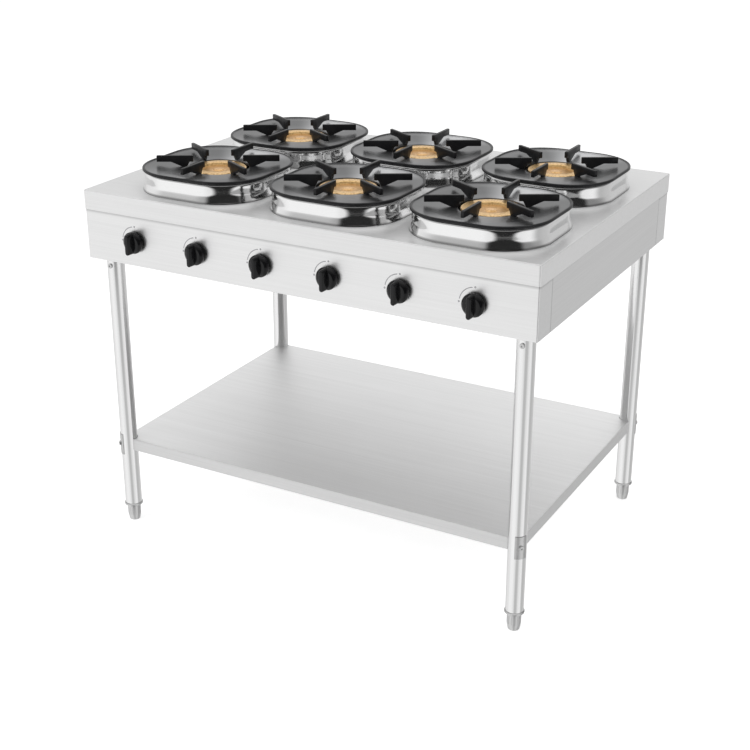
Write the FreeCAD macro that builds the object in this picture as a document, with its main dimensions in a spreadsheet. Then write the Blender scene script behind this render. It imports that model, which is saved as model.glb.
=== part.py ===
# Six-burner gas range: a folded steel body with six lift-off pan supports, on a tube stand with a shelf.
# Millimetres. +X is to the right seen from the front, +Y to the back, +Z up from the floor.
import FreeCAD, Part
import math
import os
import re
import Sketcher

SIZES = (
    # deck and body panels
    ("deck_width", 1050),
    ("deck_depth", 735),
    ("deck_height", 800),
    ("apron_height", 42),
    ("body_height", 151),
    ("sheet_gauge", 1.5),
    ("deck_corner", 5),
    ("bend_radius", 1.2),
    ("panel_wrap", 60),
    ("panel_lip", 18),
    ("seam_gap", 0.5),
    # burner stations, their spacing as shares of the deck's width and depth
    ("column_share", 0.3047619),
    ("column_shift_share", 0.0238095),
    ("row_share", 0.4503401),
    ("row_shift_share", -0.0374150),
    ("deck_bore", 88),
    # polished surround that stands on the deck
    ("surround_inset", 5),
    ("surround_height", 41),
    ("surround_gauge", 1.5),
    ("surround_flare", 6),
    ("surround_ledge", 8),
    # cast pan support
    ("plate_side", 290),
    ("plate_corner", 105),
    ("plate_bore", 66),
    ("plate_gauge", 4),
    ("rim_width", 5),
    ("rim_height", 6),
    ("dish_drop", 6),
    ("dish_margin", 3),
    # claws of the pan support
    ("claw_gauge", 7),
    ("claw_reach", 131),
    ("claw_tip", 53),
    ("claw_rise", 23),
    ("claw_depth", 13.5),
    ("claw_arm", 30),
    ("claw_root", 5),
    # brass burner cap
    ("cap_radius", 60),
    ("cap_height", 14),
    ("cap_chamfer", 2.5),
    ("cap_recess", 38),
    ("cap_sink", 6),
    ("cap_wall", 4),
    ("cap_button", 12),
    ("spigot_depth", 4),
    ("spigot_gap", 0.5),
    ("port_width", 2.6),
    ("port_depth", 4),
    ("port_height", 6),
    # cast burner under the cap
    ("bowl_rise", 24.5),
    ("bowl_radius", 57),
    ("bowl_wall", 6),
    ("bowl_rim", 20),
    ("bowl_depth", 62),
    ("post_radius", 20),
    ("mixer_radius", 16),
    ("mixer_bore", 12),
    ("mixer_length", 75),
    # rails that carry the burners
    ("rail_width", 60),
    ("rail_height", 13),
    ("rail_gauge", 2),
    ("fit_gap", 0.3),
    # knobs, spaced by a share of the deck's width, with their valves and spindles
    ("knob_share", 0.1504762),
    ("knob_rise", 54),
    ("knob_radius", 23.5),
    ("skirt_height", 7),
    ("hub_height", 4),
    ("grip_width", 12),
    ("grip_height", 15),
    ("knob_gap", 4.5),
    ("knob_bore_depth", 20),
    ("spindle_radius", 4),
    ("plug_radius", 7),
    ("plug_length", 30),
    ("valve_radius", 12.5),
    ("valve_length", 50),
    ("valve_nose", 8),
    ("running_gap", 0.05),
    ("stem_gap", 1),
    ("panel_gap", 2),
    # gas pipes
    ("manifold_radius", 10.5),
    ("manifold_bore", 8),
    ("manifold_drop", 28),
    ("manifold_reach", 28),
    ("manifold_end", 40),
    ("supply_margin", 55),
    ("branch_radius", 7.5),
    ("feed_radius", 5),
    ("jet_radius", 7),
    ("jet_length", 12),
    ("jet_gap", 3),
    ("inlet_radius", 10.5),
    ("inlet_reach", 29),
    ("inlet_nut", 17),
    ("inlet_nut_depth", 8),
    # legs, sockets and feet
    ("leg_radius", 19),
    ("leg_gauge", 1.5),
    ("leg_inset_side", 40),
    ("leg_inset_front", 42),
    ("socket_side", 90),
    ("socket_gap", 2),
    ("socket_gauge", 4),
    ("socket_depth", 45),
    ("set_screw_drop", 20),
    ("screw_radius", 3),
    ("screw_head", 5.5),
    ("screw_head_height", 3),
    ("foot_height", 40),
    ("foot_top", 15),
    ("foot_sole", 11.5),
    ("foot_taper", 16),
    ("foot_stem", 6),
    ("foot_stem_length", 32),
    ("ring_radius", 21),
    ("ring_height", 6),
    ("insert_length", 36),
    # undershelf
    ("shelf_height", 212),
    ("shelf_edge", 28),
    ("shelf_reach", 8),
    ("saddle_height", 50),
    ("saddle_gauge", 1.5),
    ("saddle_arc", 76),
)

COLUMNS = (-1, 0, 1)
ROWS = (-0.5, 0.5)
CLAW_COUNT = 6
PORT_COUNT = 32
CORNERS = ((-1, -1), (1, -1), (1, 1), (-1, 1))
KNOB_STEPS = (-2.5, -1.5, -0.5, 0.5, 1.5, 2.5)
KNOB_NUMBERS = range(1, len(KNOB_STEPS) + 1)
TOUCH = 0.01

AXIS_TURNS = {
    "x": FreeCAD.Rotation(FreeCAD.Vector(0, 1, 0), 90),
    "y": FreeCAD.Rotation(FreeCAD.Vector(1, 0, 0), -90),
    "z": FreeCAD.Rotation(),
}

# Heights, depths and spacings that several pieces share, as expressions on the sheet.
PANEL_BOTTOM = "(deck_height - body_height)"
LIP_TOP = "(deck_height - body_height + sheet_gauge)"
PANEL_BACK = "(deck_depth / 2 - 2 * sheet_gauge)"
RAIL_TOP = "(deck_height - body_height + sheet_gauge + rail_height)"
COLUMN_PITCH = "(deck_width * column_share)"
COLUMN_SHIFT = "(deck_width * column_shift_share)"
ROW_PITCH = "(deck_depth * row_share)"
ROW_SHIFT = "(deck_depth * row_shift_share)"
KNOB_PITCH = "(deck_width * knob_share)"
KNOB_HEIGHT = "(deck_height - body_height + knob_rise)"
SUPPORT_HEIGHT = "(deck_height + surround_height)"
BOWL_TOP = "(deck_height + bowl_rise)"
VALVE_BACK = "(valve_length - deck_depth / 2 + 2 * sheet_gauge)"
MANIFOLD_HEIGHT = "(deck_height - body_height + knob_rise - manifold_drop)"
MANIFOLD_Y = "(manifold_reach - deck_depth / 2 + 2 * sheet_gauge)"
SUPPLY_X = "(deck_width / 2 - supply_margin)"
LEG_X = "(deck_width / 2 - leg_inset_side)"
LEG_Y = "(deck_depth / 2 - leg_inset_front)"
LEG_BOTTOM = "(foot_height + ring_height)"
SHELF_SCREW = "(shelf_height - shelf_edge / 2)"
SURROUND_SIDE = "(plate_side - 2 * surround_inset)"
SURROUND_CORNER = "(plate_corner - surround_inset)"
DISH_RADIUS = "(plate_side / 2 - surround_inset - surround_ledge - dish_margin)"

doc = FreeCAD.newDocument("gas_range")
sheet = doc.addObject("Spreadsheet::Sheet", "sizes")
for row, (alias, value) in enumerate(SIZES, 1):
    sheet.set("A%d" % row, alias)
    sheet.set("B%d" % row, str(value))
    sheet.setAlias("B%d" % row, alias)
doc.recompute()

ALIASES = {alias for alias, value in SIZES}
nodes = []


def bound(text):
    # An expression whose size names point at their cells of the sheet.
    return re.sub(
        r"[a-z_]+",
        lambda word: "sizes." + word.group() if word.group() in ALIASES else word.group(),
        text,
    )


def bind(item, **expressions):
    for name, text in expressions.items():
        item.setExpression(name, bound(text))
    return item


def place(item, at, rotation=FreeCAD.Rotation()):
    item.Placement = FreeCAD.Placement(FreeCAD.Vector(), rotation)
    for axis, text in zip("xyz", at):
        item.setExpression("Placement.Base." + axis, bound(text))
    return item


def node(item, label):
    # Marks an object as a finished sub-part; the label names its file.
    item.Label = label
    nodes.append(item)
    return item


def box(name, size, at):
    item = doc.addObject("Part::Box", name)
    bind(item, Length=size[0], Width=size[1], Height=size[2])
    return place(item, at)


def rod(name, radius, length, at, axis="z"):
    item = doc.addObject("Part::Cylinder", name)
    bind(item, Radius=radius, Height=length)
    return place(item, at, AXIS_TURNS[axis])


def ball(name, radius, at):
    item = doc.addObject("Part::Sphere", name)
    bind(item, Radius=radius)
    return place(item, at)


def fuse(name, *shapes):
    item = doc.addObject("Part::MultiFuse", name)
    item.Shapes = list(shapes)
    return item


def cut(name, base, *tools):
    item = doc.addObject("Part::Cut", name)
    item.Base = base
    item.Tool = tools[0] if len(tools) == 1 else fuse(name + "_tools", *tools)
    return item


def overlap(name, first, second):
    item = doc.addObject("Part::Common", name)
    item.Base = first
    item.Tool = second
    return item


def group(name, *shapes):
    item = doc.addObject("Part::Compound", name)
    item.Links = list(shapes)
    return item


def copy(name, master, at, angle=0):
    # The master set down again at another place, turned about the vertical.
    turn = FreeCAD.Rotation(FreeCAD.Vector(0, 0, 1), angle)
    return place(group(name, master), at, turn)


def new_body(name):
    return doc.addObject("PartDesign::Body", name)


def new_sketch(body, name, plane):
    sketch = body.newObject("Sketcher::SketchObject", name)
    support = next(item for item in body.Origin.OriginFeatures if item.Role == plane)
    sketch.AttachmentSupport = [(support, "")]
    sketch.MapMode = "FlatFace"
    return sketch


def polygon(body, name, plane, points):
    # A closed outline whose corners are tied to the sketch's origin by signed distances.
    sketch = new_sketch(body, name, plane)
    steps = [2 * math.pi * index / len(points) for index in range(len(points))]
    ring = [FreeCAD.Vector(100 + 50 * math.cos(step), 50 * math.sin(step), 0) for step in steps]
    lines = []
    for index, start in enumerate(ring):
        end = ring[(index + 1) % len(ring)]
        lines.append(sketch.addGeometry(Part.LineSegment(start, end)))
    for index, line in enumerate(lines):
        following = lines[(index + 1) % len(lines)]
        sketch.addConstraint(Sketcher.Constraint("Coincident", line, 2, following, 1))
    for line, start, texts in zip(lines, ring, points):
        for kind, distance, text in zip(("DistanceX", "DistanceY"), (start.x, start.y), texts):
            index = sketch.addConstraint(Sketcher.Constraint(kind, -1, 1, line, 1, distance))
            sketch.setExpression("Constraints[%d]" % index, bound(text))
    return sketch


def pad(body, sketch, length, symmetric=False):
    feature = body.newObject("PartDesign::Pad", sketch.Name + "_pad")
    feature.Profile = sketch
    if symmetric:
        feature.SideType = "Symmetric"
    bind(feature, Length=length)
    return feature


def round_edges(body, base, name, radius, wanted):
    # Rounds every edge of the body's last feature whose bounding box passes the test.
    doc.recompute()
    edges = base.Shape.Edges
    names = ["Edge%d" % index for index, edge in enumerate(edges, 1) if wanted(edge.BoundBox)]
    feature = body.newObject("PartDesign::Fillet", name)
    feature.Base = (base, names)
    bind(feature, Radius=radius)
    return feature


def rounded_block(name, width, depth, radius, height, at, bend=None):
    # A block with rounded upright edges, centred on its place; the bend rounds its top outline.
    body = new_body(name)
    low_x = "-(%s) / 2" % width
    high_x = "(%s) / 2" % width
    low_y = "-(%s) / 2" % depth
    high_y = "(%s) / 2" % depth
    corners = ((low_x, low_y), (high_x, low_y), (high_x, high_y), (low_x, high_y))
    block = pad(body, polygon(body, name + "_outline", "XY_Plane", corners), height)
    rounded = round_edges(body, block, name + "_corners", radius, lambda span: span.ZLength > TOUCH)
    if bend:
        doc.recompute()
        top = rounded.Shape.BoundBox.ZMax
        round_edges(body, rounded, name + "_bend", bend, lambda span: span.ZMin > top - TOUCH)
    return place(body, at)


def turned(name, points):
    # A body turned about the vertical from a half profile of (radius, height) points.
    body = new_body(name)
    sketch = polygon(body, name + "_profile", "XZ_Plane", points)
    feature = body.newObject("PartDesign::Revolution", name + "_turn")
    feature.Profile = sketch
    feature.ReferenceAxis = (sketch, ["V_Axis"])
    feature.Angle = 360
    return body


def row_y(row):
    return "(%s + %g * %s)" % (ROW_SHIFT, row, ROW_PITCH)


def stations():
    # Number, x and y of each burner, paired front and back column by column.
    number = 0
    for column in COLUMNS:
        for row in ROWS:
            number += 1
            yield number, "(%d * %s + %s)" % (column, COLUMN_PITCH, COLUMN_SHIFT), row_y(row)


def knob_x(number):
    return "%g * %s" % (KNOB_STEPS[number - 1], KNOB_PITCH)


def leg_places():
    for number, (side, end) in enumerate(CORNERS, 1):
        yield number, side, end, "%d * %s" % (side, LEG_X), "%d * %s" % (end, LEG_Y)


def outward(side, end):
    # Direction of a leg's outer diagonal, in degrees from +X.
    return math.degrees(math.atan2(end, side))


def build_deck():
    outer = rounded_block(
        "deck_outer",
        "deck_width",
        "deck_depth",
        "deck_corner",
        "apron_height",
        ("0", "0", "deck_height - apron_height"),
        bend="bend_radius",
    )
    inner = rounded_block(
        "deck_inner",
        "deck_width - 2 * sheet_gauge",
        "deck_depth - 2 * sheet_gauge",
        "deck_corner - sheet_gauge",
        "apron_height - sheet_gauge",
        ("0", "0", "deck_height - apron_height"),
    )
    bores = []
    for number, x_text, y_text in stations():
        at = (x_text, y_text, "deck_height - 2 * sheet_gauge")
        bores.append(rod("deck_bore_%d" % number, "deck_bore", "4 * sheet_gauge", at))
    node(cut("deck_sheet", outer, inner, *bores), "deck")


def build_panels():
    # One folded belt under the deck, parted into a front, a rear and two side panels.
    belt_outer = rounded_block(
        "belt_outer",
        "deck_width - 2 * sheet_gauge",
        "deck_depth - 2 * sheet_gauge",
        "deck_corner",
        "body_height - sheet_gauge",
        ("0", "0", PANEL_BOTTOM),
    )
    belt_inner = rounded_block(
        "belt_inner",
        "deck_width - 4 * sheet_gauge",
        "deck_depth - 4 * sheet_gauge",
        "deck_corner - sheet_gauge",
        "body_height",
        ("0", "0", LIP_TOP),
    )
    belt_open = box(
        "belt_open",
        (
            "deck_width - 2 * sheet_gauge - 2 * panel_lip",
            "deck_depth - 2 * sheet_gauge - 2 * panel_lip",
            "4 * sheet_gauge",
        ),
        (
            "sheet_gauge + panel_lip - deck_width / 2",
            "sheet_gauge + panel_lip - deck_depth / 2",
            PANEL_BOTTOM + " - 2 * sheet_gauge",
        ),
    )
    belt = cut("belt", belt_outer, belt_inner, belt_open)

    def slab(name, width, depth, x_text, y_text):
        at = (x_text, y_text, PANEL_BOTTOM + " - seam_gap")
        return box(name, (width, depth, "body_height + 2 * seam_gap"), at)

    wrap = "(sheet_gauge + panel_wrap)"
    front_zone = slab("front_zone", "deck_width", wrap, "-deck_width / 2", "-deck_depth / 2")
    rear_zone = slab("rear_zone", "deck_width", wrap, "-deck_width / 2", "deck_depth / 2 - " + wrap)
    side_length = "deck_depth - 2 * %s - 2 * seam_gap" % wrap
    side_start = wrap + " + seam_gap - deck_depth / 2"
    left_zone = slab("left_zone", "deck_width / 4", side_length, "-deck_width / 2", side_start)
    right_zone = slab("right_zone", "deck_width / 4", side_length, "deck_width / 4", side_start)

    knob_holes = []
    for number in KNOB_NUMBERS:
        at = (knob_x(number), "-deck_depth / 2", KNOB_HEIGHT)
        hole_radius = "spindle_radius + panel_gap"
        knob_holes.append(rod("knob_hole_%d" % number, hole_radius, "4 * sheet_gauge", at, "y"))
    front = overlap("front_sheet", belt, front_zone)
    node(cut("front_holed", front, *knob_holes), "front_panel")

    inlet_at = (SUPPLY_X, "deck_depth / 2 - 4 * sheet_gauge", MANIFOLD_HEIGHT)
    inlet_hole = rod("inlet_hole", "inlet_radius + fit_gap", "4 * sheet_gauge", inlet_at, "y")
    rear = overlap("rear_sheet", belt, rear_zone)
    node(cut("rear_holed", rear, inlet_hole), "rear_panel")
    node(overlap("left_sheet", belt, left_zone), "side_panel_left")
    node(overlap("right_sheet", belt, right_zone), "side_panel_right")


def build_surrounds():
    # Stands on the deck: flared foot, upright wall and an inward ledge for the pan support.
    foot = rounded_block(
        "surround_foot",
        SURROUND_SIDE + " + 2 * surround_flare",
        SURROUND_SIDE + " + 2 * surround_flare",
        SURROUND_CORNER + " + surround_flare",
        "surround_gauge",
        ("0", "0", "0"),
    )
    wall = rounded_block(
        "surround_wall", SURROUND_SIDE, SURROUND_SIDE, SURROUND_CORNER, "surround_height", ("0", "0", "0")
    )
    hollow = rounded_block(
        "surround_hollow",
        SURROUND_SIDE + " - 2 * surround_gauge",
        SURROUND_SIDE + " - 2 * surround_gauge",
        SURROUND_CORNER + " - surround_gauge",
        "surround_height - surround_gauge",
        ("0", "0", "0"),
    )
    mouth = rounded_block(
        "surround_mouth",
        SURROUND_SIDE + " - 2 * surround_ledge",
        SURROUND_SIDE + " - 2 * surround_ledge",
        SURROUND_CORNER + " - surround_ledge",
        "surround_height + surround_gauge",
        ("0", "0", "0"),
    )
    master = cut("surround", fuse("surround_blank", foot, wall), hollow, mouth)
    for number, x_text, y_text in stations():
        name = "surround_%d" % number
        node(copy(name + "_copy", master, (x_text, y_text, "deck_height")), name)


def build_pan_supports():
    # Zero height is the underside of the rim, which rests on the surround's ledge.
    top = "(plate_gauge)"
    low = "(plate_gauge - dish_drop)"
    dish = turned(
        "support_dish",
        (
            ("plate_bore", low),
            (DISH_RADIUS, top),
            ("plate_side", top),
            ("plate_side", "0"),
            (DISH_RADIUS, "0"),
            ("plate_bore", low + " - plate_gauge"),
        ),
    )
    outline = rounded_block(
        "support_outline",
        "plate_side",
        "plate_side",
        "plate_corner",
        "rim_height + dish_drop",
        ("0", "0", "-dish_drop"),
    )
    rim_blank = rounded_block(
        "rim_blank", "plate_side", "plate_side", "plate_corner", "rim_height", ("0", "0", "0")
    )
    rim_hollow = rounded_block(
        "rim_hollow",
        "plate_side - 2 * rim_width",
        "plate_side - 2 * rim_width",
        "plate_corner - rim_width",
        "2 * rim_height",
        ("0", "0", "-rim_height / 2"),
    )
    claw = new_body("claw")
    arm_bottom = "(claw_rise - claw_depth)"
    root_low = low + " - plate_gauge / 2"
    profile = polygon(
        claw,
        "claw_profile",
        "YZ_Plane",
        (
            ("claw_tip", arm_bottom),
            ("plate_bore - claw_root", arm_bottom),
            ("plate_bore + claw_root / 3", root_low),
            ("plate_bore + 2 * claw_root", root_low + " + claw_root / 2"),
            ("claw_reach - claw_arm", arm_bottom),
            ("claw_reach", arm_bottom),
            ("claw_reach", "claw_rise"),
            ("claw_tip", "claw_rise"),
        ),
    )
    pad(claw, profile, "claw_gauge", symmetric=True)
    claws = []
    for index in range(CLAW_COUNT):
        angle = 360 / CLAW_COUNT * index
        claws.append(copy("claw_%d" % index, claw, ("0", "0", "0"), angle))
    plate = overlap("support_plate", dish, outline)
    rim = cut("support_rim", rim_blank, rim_hollow)
    master = fuse("support", plate, rim, *claws)
    for number, x_text, y_text in stations():
        name = "pan_support_%d" % number
        node(copy(name + "_copy", master, (x_text, y_text, SUPPORT_HEIGHT)), name)


def build_burner_caps():
    # Zero height is the seat on the bowl's rim; the spigot below it centres the cap.
    floor = "(cap_height - cap_sink)"
    spigot = "(bowl_radius - bowl_wall - spigot_gap)"
    body = turned(
        "burner_cap",
        (
            ("cap_radius", "0"),
            ("cap_radius", "cap_height - cap_chamfer"),
            ("cap_radius - cap_chamfer", "cap_height"),
            ("cap_recess", "cap_height"),
            ("cap_recess - cap_chamfer", floor),
            ("cap_button", floor),
            ("cap_button - cap_chamfer", floor + " + cap_chamfer"),
            ("0", floor + " + cap_chamfer"),
            ("0", floor + " - cap_wall"),
            (spigot + " - cap_wall", floor + " - cap_wall"),
            (spigot + " - cap_wall", "-spigot_depth"),
            (spigot, "-spigot_depth"),
            (spigot, "0"),
        ),
    )
    low = "(cap_height - cap_chamfer - port_height) / 2"
    slot = polygon(
        body,
        "port_profile",
        "XZ_Plane",
        (
            ("cap_radius - port_depth", low),
            ("cap_radius + port_depth", low),
            ("cap_radius + port_depth", low + " + port_height"),
            ("cap_radius - port_depth", low + " + port_height"),
        ),
    )
    port = body.newObject("PartDesign::Pocket", "port")
    port.Profile = slot
    port.SideType = "Symmetric"
    bind(port, Length="port_width")
    ring = body.newObject("PartDesign::PolarPattern", "port_ring")
    ring.Originals = [port]
    ring.Axis = (slot, ["V_Axis"])
    ring.Angle = 360
    ring.Occurrences = PORT_COUNT
    body.Tip = ring
    for number, x_text, y_text in stations():
        name = "burner_cap_%d" % number
        node(copy(name + "_copy", body, (x_text, y_text, BOWL_TOP)), name)


def build_burners():
    # Zero height is the bowl's rim. The post stands on a rail and the mixer tube leaves it forwards.
    foot = "(%s - %s)" % (RAIL_TOP, BOWL_TOP)
    mixer_height = "(%s - %s)" % (KNOB_HEIGHT, BOWL_TOP)
    casting = turned(
        "burner_casting",
        (
            ("0", foot),
            ("post_radius", foot),
            ("post_radius", "-bowl_depth"),
            ("bowl_radius", "-bowl_rim"),
            ("bowl_radius", "0"),
            ("bowl_radius - bowl_wall", "0"),
            ("bowl_radius - bowl_wall", "bowl_wall / 2 - bowl_rim"),
            ("post_radius - bowl_wall", "bowl_wall - bowl_depth"),
            ("0", "bowl_wall - bowl_depth"),
        ),
    )
    mixer = rod("mixer", "mixer_radius", "mixer_length", ("0", "-mixer_length", mixer_height), "y")
    mixer_bore = rod(
        "mixer_bore", "mixer_bore", "mixer_length", ("0", "-mixer_length - post_radius", mixer_height), "y"
    )
    master = cut("burner", fuse("burner_blank", casting, mixer), mixer_bore)
    for number, x_text, y_text in stations():
        name = "burner_%d" % number
        node(copy(name + "_copy", master, (x_text, y_text, BOWL_TOP)), name)


def build_rails():
    # A channel under each row of burners, lying on the side panels' lips.
    length = "(deck_width - 4 * sheet_gauge - 2 * fit_gap)"
    start = "-%s / 2" % length
    outer = box("rail_outer", (length, "rail_width", "rail_height"), (start, "-rail_width / 2", "0"))
    inner = box(
        "rail_inner",
        (length, "rail_width - 2 * rail_gauge", "rail_height - rail_gauge"),
        (start, "rail_gauge - rail_width / 2", "0"),
    )
    channel = cut("rail", outer, inner)
    rails = []
    for row in ROWS:
        at = ("0", row_y(row), LIP_TOP)
        rails.append(copy("rail_%d" % len(rails), channel, at))
    node(group("rails", *rails), "burner_rails")


def build_knobs():
    # Zero depth is the knob's back; the grip stands out towards -Y.
    depth = "(skirt_height + hub_height + grip_height)"
    skirt = rod("knob_skirt", "knob_radius", "skirt_height", ("0", "-skirt_height", "0"), "y")
    hub = doc.addObject("Part::Cone", "knob_hub")
    bind(hub, Radius1="knob_radius - hub_height", Radius2="knob_radius", Height="hub_height")
    place(hub, ("0", "-skirt_height - hub_height", "0"), AXIS_TURNS["y"])
    grip_bar = box(
        "grip_bar",
        ("grip_width", depth, "2 * knob_radius"),
        ("-grip_width / 2", "-" + depth, "-knob_radius"),
    )
    grip_round = rod("grip_round", "knob_radius", depth, ("0", "-" + depth, "0"), "y")
    grip = overlap("grip", grip_bar, grip_round)
    bore_radius = "spindle_radius + running_gap"
    bore = rod("knob_bore", bore_radius, "knob_bore_depth", ("0", "-knob_bore_depth", "0"), "y")
    master = cut("knob", fuse("knob_blank", skirt, hub, grip), bore)
    for number in KNOB_NUMBERS:
        name = "knob_%d" % number
        at = (knob_x(number), "sheet_gauge - deck_depth / 2 - knob_gap", KNOB_HEIGHT)
        node(copy(name + "_copy", master, at), name)


def build_valves():
    # Zero depth is the back of the front panel, where the valve's nose is clamped.
    body = rod("valve_body", "valve_radius", "valve_length", ("0", "0", "0"), "y")
    branch_length = "(manifold_drop - manifold_radius - stem_gap)"
    branch = rod(
        "valve_branch", "branch_radius", branch_length, ("0", "manifold_reach", "-" + branch_length)
    )
    stem_bore = rod("stem_bore", "spindle_radius + stem_gap", "valve_nose", ("0", "0", "0"), "y")
    plug_bore = rod(
        "plug_bore", "plug_radius + running_gap", "plug_length + fit_gap", ("0", "valve_nose", "0"), "y"
    )
    valve = cut("valve", fuse("valve_blank", body, branch), stem_bore, plug_bore)

    # The stem ends one knob gap short of the knob's bore, so that the knob can be pushed in.
    stem_front = "(sheet_gauge + knob_bore_depth)"
    stem_length = stem_front + " + valve_nose + fit_gap / 2"
    stem = rod("spindle_stem", "spindle_radius", stem_length, ("0", "-" + stem_front, "0"), "y")
    plug = rod("spindle_plug", "plug_radius", "plug_length", ("0", "valve_nose + fit_gap / 2", "0"), "y")
    spindle = fuse("spindle", stem, plug)

    valves = []
    for number in KNOB_NUMBERS:
        at = (knob_x(number), "-" + PANEL_BACK, KNOB_HEIGHT)
        valves.append(copy("valve_%d" % number, valve, at))
        name = "valve_spindle_%d" % number
        node(copy(name + "_copy", spindle, at), name)
    node(group("valves", *valves), "gas_valves")


def build_manifold():
    # A closed pipe behind the valves, turned back along the right side to the inlet.
    start = "(%s - manifold_end)" % knob_x(1)
    run = "(%s - %s)" % (SUPPLY_X, start)
    supply = "(%s - fit_gap - %s)" % (PANEL_BACK, MANIFOLD_Y)
    corner = (SUPPLY_X, MANIFOLD_Y, MANIFOLD_HEIGHT)
    end = (start, MANIFOLD_Y, MANIFOLD_HEIGHT)
    wall = "(manifold_radius - manifold_bore)"
    bore_end = (start + " + " + wall, MANIFOLD_Y, MANIFOLD_HEIGHT)
    outer = [
        rod("manifold_run", "manifold_radius", run, end, "x"),
        rod("supply_run", "manifold_radius", supply, corner, "y"),
        ball("manifold_elbow", "manifold_radius", corner),
    ]
    for number in KNOB_NUMBERS:
        at = (knob_x(number), MANIFOLD_Y, MANIFOLD_HEIGHT)
        outer.append(rod("boss_%d" % number, "branch_radius", "manifold_radius + stem_gap", at))
    inner = [
        rod("manifold_inside", "manifold_bore", run + " - " + wall, bore_end, "x"),
        rod("supply_inside", "manifold_bore", supply, corner, "y"),
        ball("elbow_inside", "manifold_bore", corner),
    ]
    node(cut("manifold", fuse("manifold_blank", *outer), *inner), "manifold_pipe")

    inner_end = "(%s - fit_gap)" % PANEL_BACK
    nut_at = (SUPPLY_X, "deck_depth / 2 - sheet_gauge", MANIFOLD_HEIGHT)
    nut = rod("inlet_nut_body", "inlet_nut", "inlet_nut_depth", nut_at, "y")
    stub_length = "(deck_depth / 2 + inlet_reach - %s)" % inner_end
    stub_at = (SUPPLY_X, inner_end, MANIFOLD_HEIGHT)
    stub = rod("inlet_stub", "inlet_radius", stub_length, stub_at, "y")
    stub_bore = rod("inlet_bore", "manifold_bore", stub_length, stub_at, "y")
    node(cut("inlet", fuse("inlet_blank", nut, stub), stub_bore), "gas_inlet")


def build_gas_pipes():
    # From each valve straight back, then across to the jet at the mouth of its burner's mixer.
    pipes = []
    for number, x_text, y_text in stations():
        valve_x = knob_x(number)
        jet_y = "(%s - mixer_length - jet_gap - jet_length)" % y_text
        run = "(%s - %s)" % (jet_y, VALVE_BACK)
        back = rod("feed_run_%d" % number, "feed_radius", run, (valve_x, VALVE_BACK, KNOB_HEIGHT), "y")
        bend = ball("feed_bend_%d" % number, "feed_radius", (valve_x, jet_y, KNOB_HEIGHT))
        # Odd knobs stand to the left of their burner and even ones to the right.
        low_x, high_x = (valve_x, x_text) if number % 2 else (x_text, valve_x)
        width = "%s - %s" % (high_x, low_x)
        cross = rod("feed_cross_%d" % number, "feed_radius", width, (low_x, jet_y, KNOB_HEIGHT), "x")
        knuckle = ball("jet_knuckle_%d" % number, "jet_radius", (x_text, jet_y, KNOB_HEIGHT))
        jet = rod("jet_%d" % number, "jet_radius", "jet_length", (x_text, jet_y, KNOB_HEIGHT), "y")
        pipes.append(fuse("feed_%d" % number, back, bend, cross, knuckle, jet))
    node(group("feeds", *pipes), "gas_pipes")


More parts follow.
